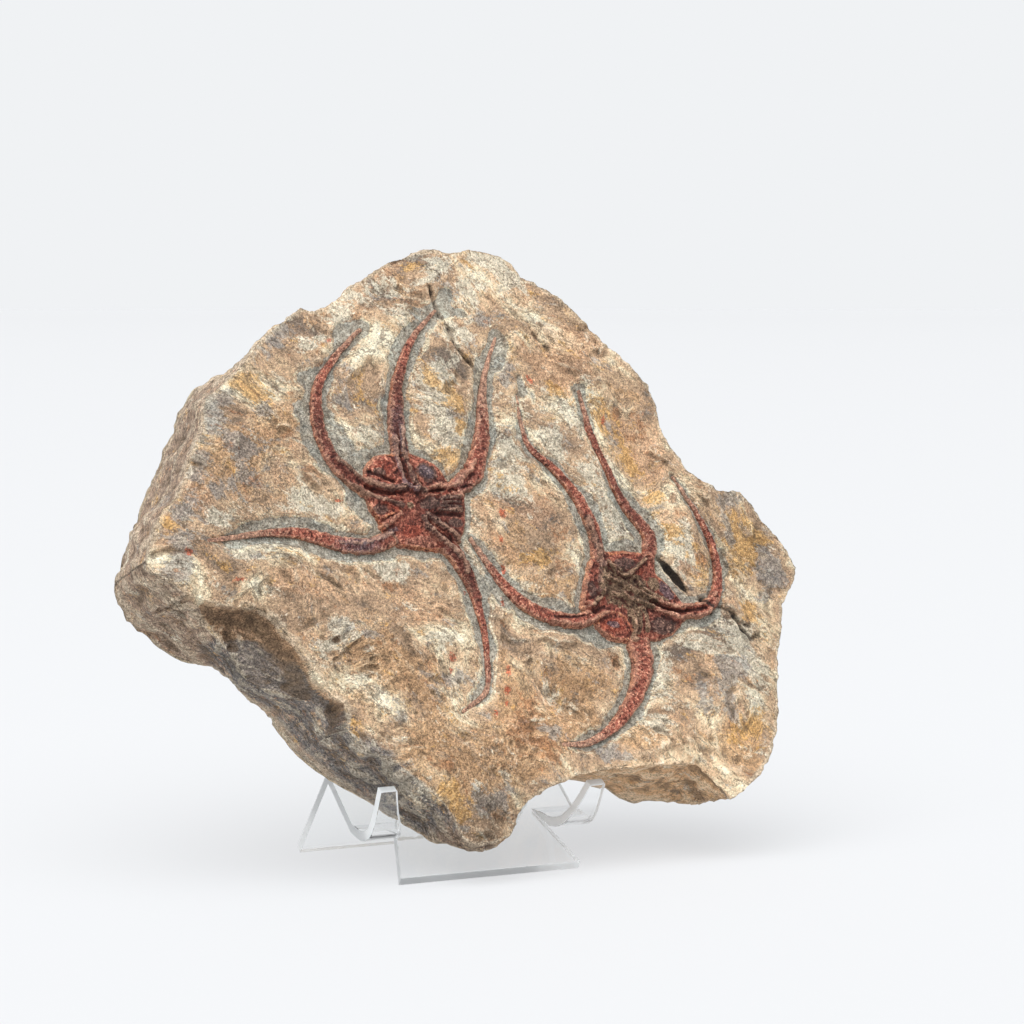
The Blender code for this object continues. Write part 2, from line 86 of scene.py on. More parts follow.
def lineDistance(u, v, line):
    # Distance to the nearest segment a + t (b - a), and its side (+ is left).
    nearest = np.full(np.shape(u), 1e9)
    side = np.ones(np.shape(u))
    for (au, av), (bu, bv) in zip(line[:-1], line[1:]):
        du, dv = bu - au, bv - av
        along = np.clip(((u - au) * du + (v - av) * dv) / (du * du + dv * dv), 0, 1)
        gap = np.hypot(u - au - along * du, v - av - along * dv)
        turn = du * (v - av) - dv * (u - au)
        side = np.where(gap < nearest, np.sign(turn), side)
        nearest = np.minimum(nearest, gap)
    return nearest, side


def smoothPath(points, step, closed=False):
    # Catmull-Rom curve, c(t) = (2 p1 + (p2 - p0) t + (2 p0 - 5 p1 + 4 p2 - p3) t^2
    # + (3 p1 - p0 - 3 p2 + p3) t^3) / 2, resampled about every step mm.
    p = np.array(points, float)
    if closed:
        p = np.vstack([p[-1:], p, p[:2]])
    else:
        p = np.vstack([2 * p[0] - p[1], p, 2 * p[-1] - p[-2]])
    t = np.linspace(0, 1, 24, endpoint=False)[:, None]
    pieces = []
    for p0, p1, p2, p3 in zip(p[:-3], p[1:-2], p[2:-1], p[3:]):
        pieces.append((2 * p1 + (p2 - p0) * t + (2 * p0 - 5 * p1 + 4 * p2 - p3) * t ** 2
                       + (3 * p1 - p0 - 3 * p2 + p3) * t ** 3) / 2)
    curve = np.vstack(pieces + [p[-2:-1]])
    reach = np.concatenate([[0], np.cumsum(np.hypot(*np.diff(curve[:, :2], axis=0).T))])
    count = max(int(round(reach[-1] / step)), 8)
    at = np.linspace(0, reach[-1], count + 1)
    if closed:
        at = at[:-1]
    return np.column_stack([np.interp(at, reach, column) for column in curve.T])


def vertexNormals(place, faces):
    # Sum of each vertex's face normals (b - a) x (c - a), made unit length.
    a, b, c = place[faces[:, 0]], place[faces[:, 1]], place[faces[:, 2]]
    normal = np.cross(b - a, c - a)
    total = np.column_stack([np.bincount(faces.ravel(), np.repeat(normal[:, k], 3), len(place))
                             for k in range(3)])
    return total / np.maximum(np.linalg.norm(total, axis=1, keepdims=True), 1e-12)


def hollows(place, faces, normal, rounds):
    # How deep each point lies under the average of its surroundings: the points averaged with
    # their neighbours again and again, (mean p' - p) . n.
    a = faces.ravel()
    b = np.roll(faces, 1, axis=1).ravel()
    count = np.bincount(a, minlength=len(place))[:, None]
    calm = place
    for step in range(rounds):
        calm = np.column_stack([np.bincount(a, calm[b, k], len(place)) for k in range(3)]) / count
    return np.sum((calm - place) * normal, axis=1)


def makePiece(name, place, faces, measures, stands):
    # A mesh piece in metres with its measures as attributes, in place of the named nodes.
    mesh = bpy.data.meshes.new(name)
    mesh.from_pydata(place.tolist(), [], faces.tolist())
    mesh.shade_smooth()
    for label, values in measures.items():
        kind = "FLOAT" if values.ndim == 1 else "FLOAT_VECTOR"
        layer = mesh.attributes.new(label, kind, "CORNER" if values.ndim == 3 else "POINT")
        layer.data.foreach_set("value" if kind == "FLOAT" else "vector",
                               np.ascontiguousarray(values, np.float32).ravel())
    piece = bpy.data.objects.new(name, mesh)
    bpy.context.scene.collection.objects.link(piece)
    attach(piece, "root")
    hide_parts(*stands)
    return piece


# The slab has a frame of its own, in mm: u to the right, v up along its face, w out of its face.
slab = {
    "lean": math.radians(17.0),
    "foot": np.array([-14.6, -43.6, 9.6]),   # where u = v = w = 0 stands
    "centre": np.array([28.0, 95.0]),        # the outlines are seen from here
    "faceCells": 256,
    "sideRings": 14,
    "edgeWear": 1.5,                         # how far the face's edge is worn down
    "grainTurn": math.radians(-35),          # the fine beds run this way
    "grainBend": 5.0,
    "swell": 0.5,                            # the sides bulge by this, and more at one corner
    "cornerSwell": 2.6,
    "cornerAt": 237.0,                       # degrees round from the right
    "cornerWidth": 9.0,
    "sideLayers": 0.35,                      # height of the sides' layers, chips and grit
    "sideChips": 1.3,
    "sideGrit": 0.3,
    "faceGrit": 0.18,
    "worn": 0.4,                             # what the roughness takes off everywhere
    "outline": [
        (-96, 95), (-93, 101), (-91.5, 106), (-89, 111), (-84, 114.5), (-80.5, 121), (-78, 127.5),
        (-73.5, 134), (-73, 140), (-72, 144), (-67.5, 147), (-60, 153), (-54.5, 159), (-49, 164.5),
        (-42, 169), (-37, 172.5), (-33, 171), (-28, 173), (-23, 176.5), (-17, 181), (-11, 184),
        (-5.5, 187.5), (1, 189), (9, 191.5), (15, 190), (24.5, 191), (33, 189), (36.5, 186),
        (38.5, 181.5), (43, 180), (51, 176), (55, 172.5), (63, 163.5), (65, 160), (71.5, 155),
        (75.5, 151), (79.5, 146), (82.5, 139), (82, 132), (85, 125), (89.5, 117.5), (95, 114),
        (100.5, 111), (108, 110), (112, 106), (115, 100.5), (120.5, 94), (126, 84), (123, 78),
        (118, 72), (116.5, 64), (113.5, 56), (111, 47), (110.5, 40), (108, 30), (104, 22), (99, 17),
        (94, 12.5), (88.5, 10.5), (83, 16.5), (78, 22), (74, 23.5), (62, 23.5), (56, 23), (46, 22.5),
        (36, 22), (30.5, 20.5), (27, 19.5), (23, 18), (19, 16), (16.5, 14), (14.5, 11.5), (13, 9),
        (11.5, 7.5), (10, 5.5), (5, 4.5), (-2, 4.5), (-4.5, 6), (-7, 12), (-9, 15.5), (-12, 19),
        (-17.5, 24.5), (-23.5, 29.5), (-28, 32), (-33, 34.5), (-36, 38), (-40, 42), (-43, 47),
        (-46, 51.5), (-50, 53), (-60, 56), (-66, 60), (-70, 67), (-75, 76), (-79, 81), (-84, 83.5),
        (-88.5, 88), (-94, 91),
    ],
    "backOutline": [
        (-95.5, 96.5, -34), (-94, 101, -34), (-91, 106.5, -34), (-88, 112, -34), (-82, 122, -34),
        (-76, 133.5, -34), (-69, 146, -34), (-65, 153, -34), (-61, 155.5, -34), (-55, 156.5, -34),
        (-49, 159, -34), (-41, 164, -33), (-27, 170, -32), (-16, 177, -31), (-5, 183, -30),
        (9, 187, -30), (24, 187, -30), (34, 183, -30), (40, 176, -30), (50, 171, -30),
        (61, 159, -31), (72, 149, -32), (79, 139, -33), (79, 130, -33), (84, 120, -33),
        (93, 112, -32), (106, 107, -31), (115, 97, -31), (121, 84, -32), (116, 74, -32),
        (112, 60, -33), (107, 46, -34), (105, 32, -34), (104, 21, -34), (100, 14.5, -33),
        (95, 13.5, -34), (82, 15, -34), (71, 15.5, -34), (66, 17.5, -34), (62, 21, -34),
        (55, 23.5, -34), (47, 25.5, -34), (38, 25.5, -34), (30, 23.5, -32), (22, 19, -28),
        (16.5, 13.5, -22), (13, 7.5, -16), (7, 3, -13), (0, 2, -12), (-4, 5, -14), (-8, 7, -16),
        (-11, 10.5, -20), (-14, 14.5, -25), (-18.5, 19.5, -29), (-23, 23.5, -31), (-28, 27.5, -33),
        (-33, 31, -34), (-42, 39, -34), (-47.5, 46, -34), (-53, 54.5, -34), (-61, 63, -34),
        (-67, 68, -34), (-76.5, 71, -34), (-85, 75.5, -34), (-90, 79.5, -34), (-93, 83.5, -34),
        (-95, 90, -34),
    ],
    # Swellings (+) and hollows (-): u, v, length, width, turn in degrees, height.
    "lumps": [
        (22, 184, 26, 9, -8, 2.2), (58, 150, 20, 15, -50, 2.4), (-60, 132, 26, 16, 60, 1.4),
        (-78, 106, 14, 10, 60, 1.6), (7, 142, 16, 9, 85, 1.0), (-23, 138, 20, 7, 75, 0.9),
        (32, 104, 16, 12, 80, 1.6), (55, 112, 16, 6, 75, 1.2), (84, 96, 15, 8, 70, 1.2),
        (108, 88, 13, 12, 0, -1.8), (63, 79, 12, 9, 0, -1.6), (-30, 74, 26, 12, -25, 2.0),
        (-52, 88, 20, 9, -10, 1.2), (-30, 50, 20, 14, -30, 2.6), (12, 30, 22, 14, 0, 2.4),
        (38, 47, 11, 6, -15, -3.0), (31, 60, 12, 10, 0, 1.2), (96, 45, 16, 26, 10, 2.6),
        (68, 30, 14, 8, 10, 1.2), (84, 68, 12, 8, 0, 0.8), (-8, 108, 15, 13, 0, -0.8),
    ],
    "backLumps": [(12, 44, 34, 15, 0, 10.4), (40, 120, 40, 26, 30, 3.0),
                  (-40, 120, 26, 30, 0, 2.5), (85, 60, 22, 20, 0, -2.0)],
    "backPlane": -36.0,
    "backRim": 0.22,
    "panelReach": 20.8,                      # the back keeps clear of the stand's panel
    "panelSlope": 1.25,
    "panelEnd": 50.0,
    "scoopLip": [(-82, 83), (-72, 80), (-63, 78.5), (-58, 75.5), (-54, 69.5), (-51, 65),
                 (-48.5, 60.5), (-47.5, 56), (-42, 50.5)],
    "scoopDepth": 7.8,
    "scoopRun": 2.7,
    "scoopEnd": (-40, 84),                   # the scoop lies left of this u and below this v
    "lights": [                  # where the stone is lighter (+) or darker (-) than elsewhere
        (18, 172, 20, 14, 0, 0.35), (14, 102, 12, 10, 0, -0.2), (3, 12, 16, 12, 0, -0.9),
        (20, 45, 16, 14, 0, 0.35), (-62, 120, 24, 20, 40, -0.35), (110, 90, 16, 18, 0, -0.3),
        (-55, 78, 16, 8, -25, -0.3), (80, 40, 20, 14, 0, 0.2), (-88, 92, 16, 24, 0, 0.1),
        (70, 20, 46, 10, 0, 0.9), (-50, 50, 20, 8, -40, 0.5), (70, 120, 14, 20, 0, 0.1),
        (-22, 172, 22, 9, 25, 0.5), (-36, 152, 10, 10, 0, -0.2), (-36, 62, 10, 8, 0, -0.3),
    ],
    "darkSides": [(-52, 50, 26, 12, -40, 1.2), (-22, 24, 22, 10, -42, 1.2), (-68, 66, 10, 8, 0, 0.8)],
    "brownSides": [(60, 20, 46, 12, 0, 1.2), (-58, 72, 14, 9, -30, 1.1), (8, 5, 8, 5, 0, 0.6)],
}


def standUp(place):
    # From slab mm to metres: x = x0 + u, y = y0 + v sin a - w cos a, z = z0 + v cos a + w sin a.
    u, v, w = place.T
    s, c = math.sin(slab["lean"]), math.cos(slab["lean"])
    return (np.column_stack([u, v * s - w * c, v * c + w * s]) + slab["foot"]) * mm


def nearScoop(u, v):
    # The corner of the face that the scoop was broken from.
    return (u < slab["scoopEnd"][0]) & (v < slab["scoopEnd"][1])


def baseHeight(u, v):
    # The face's broad form: the ovals less the scoop's depth d min(1, gap / run)^0.55.
    gap, side = lineDistance(u, v, slab["scoopLip"])
    drop = np.clip(-side * gap / slab["scoopRun"], 0, 1)
    return ovals(u, v, slab["lumps"]) - np.where(nearScoop(u, v), slab["scoopDepth"] * drop ** 0.55, 0)


def outlineRadius(outline, angles):
    # r(angle) from the centre to an outline, and the outline's third value there.
    points = np.array(outline, float)
    du, dv = (points[:, :2] - slab["centre"]).T
    turn = np.unwrap(np.arctan2(dv, du))
    order = np.argsort(turn)
    radius = np.interp(angles, turn[order], np.hypot(du, dv)[order], period=2 * math.pi)
    if points.shape[1] == 2:
        return radius, None
    return radius, np.interp(angles, turn[order], points[order, 2], period=2 * math.pi)


def rimAngles(count):
    # Directions that step evenly along the face's outline.
    closed = np.array(slab["outline"] + slab["outline"][:1], float)
    reach = np.concatenate([[0], np.cumsum(np.hypot(*np.diff(closed, axis=0).T))])
    at = np.arange(count) * reach[-1] / count
    u = np.interp(at, reach, closed[:, 0])
    v = np.interp(at, reach, closed[:, 1])
    return np.arctan2(v - slab["centre"][1], u - slab["centre"][0]), at


def ringGrid(cells):
    # A square grid seen as rings: ring max(|i|, |j|) / half, and the place along the rim.
    half = cells // 2
    i, j = np.meshgrid(np.arange(cells + 1) - half, np.arange(cells + 1) - half, indexing="ij")
    ring = np.maximum(np.abs(i), np.abs(j))
    safe = np.maximum(ring, 1)
    x, y = i / safe, j / safe
    left = (x == -1) & (y < 1) & (y >= -1)
    top = (y == 1) & (x < 1)
    right = (x == 1) & (y > -1)
    turn = np.where(left, y + 1, np.where(top, 3 + x, np.where(right, 5 - y, 7 - x)))
    return ring / half, (turn - 1) % 8 / 8 * 4 * cells


def gridFaces(grid):
    # Two triangles a cell, split so that the edge between them points to the grid's middle.
    cells = grid.shape[0] - 1
    i, j = np.meshgrid(np.arange(cells), np.arange(cells), indexing="ij")
    outward = ((i - cells / 2 + 0.5) * (j - cells / 2 + 0.5) > 0).ravel()[:, None]
    a, b = grid[:-1, :-1].ravel(), grid[1:, :-1].ravel()
    c, d = grid[1:, 1:].ravel(), grid[:-1, 1:].ravel()
    first = np.where(outward, np.stack([a, b, c], -1), np.stack([a, b, d], -1))
    second = np.where(outward, np.stack([a, c, d], -1), np.stack([b, c, d], -1))
    return np.concatenate([first, second])


def dished(outline, cells):
    # u, v of a ring grid inside an outline, its rings, and the order of its rim points.
    ring, place = ringGrid(cells)
    around = len(outline)
    low = np.floor(place).astype(int) % around
    share = (place - np.floor(place))[..., None]
    edge = outline[low] * (1 - share) + outline[(low + 1) % around] * share
    uv = slab["centre"] + ring[..., None] * (edge[..., :2] - slab["centre"])
    order = np.empty(around, int)
    rim = ring == 1
    order[np.round(place[rim]).astype(int) % around] = np.arange(ring.size).reshape(ring.shape)[rim]
    return uv.reshape(-1, 2), ring.ravel(), edge[..., 2].ravel(), order


def flowGrain(u, v):
    # Distances along and across the face's fine beds, which bend gently:
    # u' = u cos a + v sin a + b n1, v' = v cos a - u sin a + b n2.
    place = np.column_stack([u, v, 0 * u])
    c, s = math.cos(slab["grainTurn"]), math.sin(slab["grainTurn"])
    return np.column_stack([u * c + v * s + slab["grainBend"] * roughNoise(place, 26, 71, 2),
                            v * c - u * s + slab["grainBend"] * roughNoise(place, 26, 74, 2), 0 * u])


# Finer relief of the face, in mm.
relief = {
    "trenchDepth": 0.6,          # the stone dips beside every arm,
    "trenchAt": 0.4,             # deepest this far from it
    "trenchWidth": 1.1,
    "bedDepth": 2.4,             # and lies this deep under the fossil
    "islandRise": 0.9,           # the stone between the arms stands up
    "haloWidth": 2.1,            # the grey skin round the fossils,
    "haloShare": 0.35,           # of which the thinnest arm has this share
    "haloFull": 3.9,             # and an arm this wide all
    "haloWander": 1.6,
    "haloLobes": [               # ovals where the grey skin is wider (-) or gives out (+)
        (-42, 150, 4.6, 4.0, 0, -4.2), (-45, 141, 4.2, 3.6, 0, -3.8), (-41, 131, 4, 5, 0, -2.2),
        (-39, 158, 4.4, 3.4, 0, -3.2), (-27, 165.5, 5.0, 3.6, 30, -3.6), (-24, 140, 7, 14, -10, -2.4),
        (-27, 128, 6, 6, 0, -2.0), (-28, 108, 9, 4, -10, -3.2), (-47, 106, 12, 3.5, 0, -1.8),
        (-47, 93, 16, 4, 0, -1.8), (-72, 95, 8, 5, 0, -2.0), (-2, 140, 4, 10, 0, -1.2),
        (12, 132, 4, 8, 0, -1.4), (26, 66, 7, 6, 0, -2.0), (17, 76, 3, 12, 15, -2.0),
        (3, 60, 4, 12, 0, -1.4), (48, 62, 6, 5, 0, -2.4), (38, 78, 8, 4, 0, -1.6), (20, 152, 4, 9, 0, -2.2),
        (100, 66, 7, 5, 0, -2.4), (101, 84, 3.4, 14, 10, -2.8), (62, 96, 5, 6, 0, -2.0),
        (46, 100, 3, 10, 0, -1.0), (78, 90, 4, 10, 0, -1.0), (0, 43, 7, 5, 0, 3.0), (30, 32, 6, 5, 0, 2.2),
        (-1, 171.6, 5, 3.5, 20, -4.6), (12, 176.5, 3.8, 3.2, 0, -8), (17.5, 169.7, 6, 3, -20, -8.5),
        (14.6, 164, 3.5, 3.5, 0, -6), (-5.5, 160, 3.5, 8, -30, -3), (4, 159, 2.5, 6, -20, -2),
        (27.5, 157, 2.6, 6, 0, -5), (33, 150, 1.8, 7, 10, -5.5), (37.5, 141, 1.8, 6, 0, -4.5),
        (-78, 100, 6, 4, 0, 1.5), (58, 122, 6, 5, 0, 1.0), (40, 124, 4, 5, 0, 1.0), (9, 174, 4, 4, 0, 1.4),
    ],
    "terraces": [(30, 1.7, 1.2, 61), (11, 1.5, 0.5, 62)],      # cell, levels, drop, seed
    "waves": [(0.9, 30, 63, 2), (0.3, 9, 68, 1)],              # height, cell, seed, octaves
    "scoopRoughness": 1.1,
    "creaseDepth": 0.25,
    "bedHeight": 0.04,           # the fine beds, and how much more of them the crest has
    "crestBedHeight": 0.2,
    "pitDepth": 0.5,
    "cracks": [                  # width, depth and line
        (0.36, 1.0, [(6.2, 178.9), (7.3, 174.3), (8.7, 169.4), (11.2, 164.5), (11.7, 161.3),
                    (12.5, 159), (15.1, 155.8), (18.1, 152.2)]),
        (0.55, 1.5, [(87.5, 74.9), (90.1, 70.8)]),
        (0.5, 1.2, [(92.6, 73), (97.6, 69.8), (100.1, 64.5), (103.2, 61.1), (106.4, 62.6)]),
        (0.3, 0.6, [(80.5, 79.3), (82.6, 78.2), (85, 78)]),
        (0.2, 0.4, [(3.1, 186.4), (6.4, 185.1), (9.3, 183.5), (10, 181.5)]),
        (0.3, 0.8, [(-43, 89), (-39.5, 86.5), (-36, 84)]),
        (0.45, 1.0, [(97, 69), (99.5, 67), (103, 65.5)]),
        (0.35, 0.7, [(39, 165), (42, 160.5), (44.5, 158)]),
        # This crack runs just under the scoop's lip; its groove and dark fill paint the lip's shadow.
        (0.35, 0.8, [(-67, 80), (-60.5, 78.4), (-56.2, 74), (-52.2, 67.6), (-49.6, 62.8), (-47.6, 58.5)]),
    ],
    "steps": [                   # drop, run, reach and line; the right-hand side of the line is lower
        (1.5, 1.2, 9, [(45, 38.3), (36.5, 39.8), (31.6, 41.7), (28.8, 46.2)]),
        (1.3, 1.0, 7, [(-47.3, 72.6), (-52.3, 70.1), (-55.9, 72.4)]),
        (0.9, 0.8, 8, [(-66, 63), (-60, 60), (-55, 58)]),
        (1.0, 0.9, 9, [(103, 108), (99, 101), (98, 92), (101, 86)]),
        (0.8, 0.8, 6, [(62, 27), (74, 30), (84, 27), (92, 24)]),
        (0.7, 0.8, 8, [(-16, 60), (-26, 70), (-38, 76), (-46, 82)]),
        (0.6, 0.8, 7, [(40, 172), (48, 160), (55, 146), (66, 138)]),
    ],
    "pitted": [                  # ovals where the stone is full of small holes
        (-16, 52, 15, 9, -30, 1.0), (-30, 62, 10, 6, -30, 0.8), (20, 34, 13, 9, 0, 1.0),
        (8, 28, 10, 8, 0, 0.8), (40, 33, 9, 6, 0, 0.8), (-67, 71, 6, 4, -20, 1.2),
        (34, 92, 9, 7, 0, 0.7), (80, 50, 18, 16, 0, 0.5), (60, 50, 6, 8, 0, 0.7),
        (33, 84, 8, 6, 0, 0.8), (-8, 62, 8, 6, 0, 0.8), (53, 57, 4, 4, 0, 1.1),
    ],
    "slits": [(78.2, 83.2, 5.4, 0.8, -54, 3.2), (6.6, 176.8, 2.6, 0.26, -72, 1.1),
              (16, 154.5, 2.6, 0.3, -50, 1.2)],
    "holes": [                   # u, v, radius, depth of the larger ones
        (-69.5, 72.5, 1.5, 3.2), (-68.4, 69.4, 1.2, 2.6), (-47, 53, 0.9, 1.0), (23.5, 58, 0.8, 0.8),
        (61, 34, 0.9, 0.8), (26.5, 91, 1.0, 0.8), (-31, 86.5, 0.8, 0.6), (5, 153, 0.8, 0.6),
        (44, 105, 0.9, 0.7), (-57, 112, 1.0, 0.6), (-49, 121, 0.9, 0.6), (99, 90, 1.0, 0.8),
    ],
}


# Stains of the face: for each mineral its u, v, length, width and turn.
stains = {
    "cream": [
        (5, 143, 11, 7, 85), (6, 130, 8, 6, 80), (-20, 131, 5, 4, 0), (-24, 124, 4, 3, 0),
        (25, 124, 5, 8, 0), (26, 113, 5, 6, 0), (42, 127, 10, 5, -50), (58, 112, 6, 12, 10),
        (56, 99, 4, 7, 10), (27, 188, 9, 4, 0), (-45, 111, 8, 4, -10), (-37, 109, 7, 3, -10),
        (-36, 161, 6, 3, 0), (84, 95, 5, 9, 15), (80, 88, 4, 7, 30),
        (-5, 67, 5, 5, 0), (-34, 70, 6, 3, -30), (-20, 89, 12, 4, -8), (66, 36, 5, 6, 0),
        (69, 50, 5, 7, 0), (56, 144, 4, 6, 20), (-70, 139, 3, 5, 30), (46, 138, 5, 10, 35),
        (-44, 64, 4, 5, -40), (84, 62, 8, 5, 0), (99, 60, 6, 8, 0), (102, 45, 4, 12, 0),
        (14, 165, 7, 5, -50), (20, 178, 6, 5, 0), (-24, 172, 7, 4, 30), (-10, 178, 6, 4, 20),
        (-8, 158, 4, 6, 30), (-62, 96, 10, 3, -5),
        (10, 92, 3, 5, 0), (33, 47, 5, 4, 0), (-72, 106, 8, 3, 20), (20, 112, 4, 3, 0),
        (8, 184, 9, 4, 10), (-4, 168, 4, 5, 20), (33, 182, 7, 4, -20),
    ],
    "ochre": [
        (2, 148, 3, 6, 10), (9, 142, 3, 5, 0), (11, 134, 2.5, 7, 0), (6, 122.5, 5, 5, -20),
        (-15, 138, 3, 4, 0), (68, 122, 5, 9, 20), (-59, 149, 5, 4, 0), (-54, 144, 4, 5, 0),
        (108, 96, 8, 9, 0), (106, 87, 6, 5, 0), (89, 84, 5, 6, 0), (-9, 20, 4, 4, 0),
        (-5, 13, 4, 4, 0), (99, 34, 7, 5, 0), (-37, 41, 4, 4, -30), (58, 137, 4, 5, 0),
        (44, 143, 3, 5, 0), (20, 148, 3, 4, 0), (75, 108, 4, 4, 0), (-88, 106, 4, 5, 0),
        (-22, 149, 3, 8, -20), (104, 70, 5, 5, 0), (30, 90, 5, 4, 0), (78, 98, 4, 4, 0),
    ],
    "slate": [
        (13, 177, 5, 3, -40), (1, 171, 4, 3, 10), (-65, 144, 4, 3, 0), (-53, 140, 3, 3, 0),
        (-60, 127, 9, 4, 20), (-83, 110, 6, 4, 50), (-71, 115, 6, 3, 0), (101, 97, 2, 8, 10),
        (115, 88, 4, 5, 0), (113, 84, 4, 4, 0), (118, 80, 4, 5, 0), (103, 108, 9, 3, 0),
        (84, 43, 3, 5, 0), (92, 49, 3, 7, 0), (91, 38, 3, 5, 0), (-4, 53, 6, 4, 0),
        (-6, 9, 6, 5, 0), (28, 36, 3, 5, 60), (-62, 119, 8, 4, 0), (-76, 124, 6, 4, 60),
        (-58, 100, 8, 2.5, 0), (-14, 139, 4, 9, -15), (-27, 146, 4, 8, -25), (-84, 98, 6, 6, 0),
        (-46, 163, 8, 4, 40),
        (-70, 140, 5, 8, 30), (7, 137, 3, 4, 0),
        (62, 132, 2.5, 6, 20), (22, 168, 4, 6, 0), (28, 152, 3, 6, 0), (110, 75, 4, 3, 0),
        (98, 52, 3, 5, 0), (48, 28, 7, 3, 0), (6, 17, 7, 4, 0), (-85, 92, 4, 4, 0),
        (-64, 132, 3, 3, 0), (90, 54, 4, 3, 0), (-31, 70, 6, 2.5, -30), (-22, 44, 4, 3, 0),
    ],
    "pink": [
        (57, 158, 14, 10, -40), (73, 126, 7, 10, 20), (14, 104, 9, 10, 0), (-6, 185, 6, 3, 15),
        (83, 101, 6, 5, 0), (76, 117, 5, 6, 0), (30, 45, 5, 9, 30), (-49, 86, 14, 5, -10),
        (32, 106, 8, 9, 0), (-78, 112, 5, 6, 0), (92, 62, 8, 6, 0),
        (45, 150, 8, 8, 0), (-44, 124, 5, 8, 0), (36, 176, 6, 6, -40), (-10, 78, 12, 6, -20),
    ],
    "rust": [
        (-25.5, 132, 1.6, 1.6, 0), (-41, 120, 3, 2.5, 0), (73, 131, 4, 5, 0), (53.5, 57, 2, 2, 0),
        (18, 36, 7, 5, 0), (26, 30, 7, 4, 0), (75, 52, 5, 1.6, -35), (83, 85, 3, 3, 0),
        (-60, 117, 4, 2.5, 0), (36, 144, 2, 3, 0), (22, 44, 4, 4, 0), (82, 108, 2, 2, 0),
        (66, 136, 2, 3, 0), (38, 97, 3, 3, 0), (-47, 132, 2, 2, 0), (90, 88, 3, 3, 0),
        (-18, 84, 5, 2, 0), (40, 88, 4, 3, 0), (-9, 28, 4, 3, 0),
    ],
    "sand": [
        (-17, 54, 15, 11, -20), (-28, 64, 12, 7, -30), (19, 50, 9, 10, 0), (41, 52, 11, 8, 0),
        (36, 76, 11, 8, 0), (8, 28, 24, 12, 10), (-50, 134, 14, 8, 20), (-12, 30, 10, 12, 30),
        (95, 28, 10, 9, 0), (30, 38, 16, 8, 0), (60, 33, 12, 5, 0), (-66, 122, 12, 12, 50),
        (22, 95, 6, 8, 0), (-66, 68, 9, 8, 0),
    ],
    "red": [
        (21, 105, 1.3, 2.0, 30), (-2, 61, 1.3, 1.8, 20), (-3, 57, 0.8, 1.0, 0), (16, 56, 1.0, 1.6, 0),
        (15, 50, 1.2, 1.7, 0), (14, 46, 0.8, 1.2, 0), (10, 43, 1.0, 1.2, 0), (17.5, 77, 0.7, 1.6, 0),
        (-29.5, 161.5, 1.0, 0.8, 0), (-82.5, 97, 1.6, 1.2, -20),
        (-67.5, 88, 2.0, 0.7, 0), (19.5, 97, 0.8, 1.6, 0), (36.7, 148, 0.7, 2.4, 30),
        (60.5, 134, 0.9, 2.0, -20), (19.3, 87.5, 0.7, 2.2, 10), (5.5, 81, 0.7, 0.7, 0),
        (13.5, 90.5, 0.6, 3.0, 12), (54.5, 131, 0.4, 3.4, 12), (-33, 111, 2.2, 0.5, 5),
    ],
}


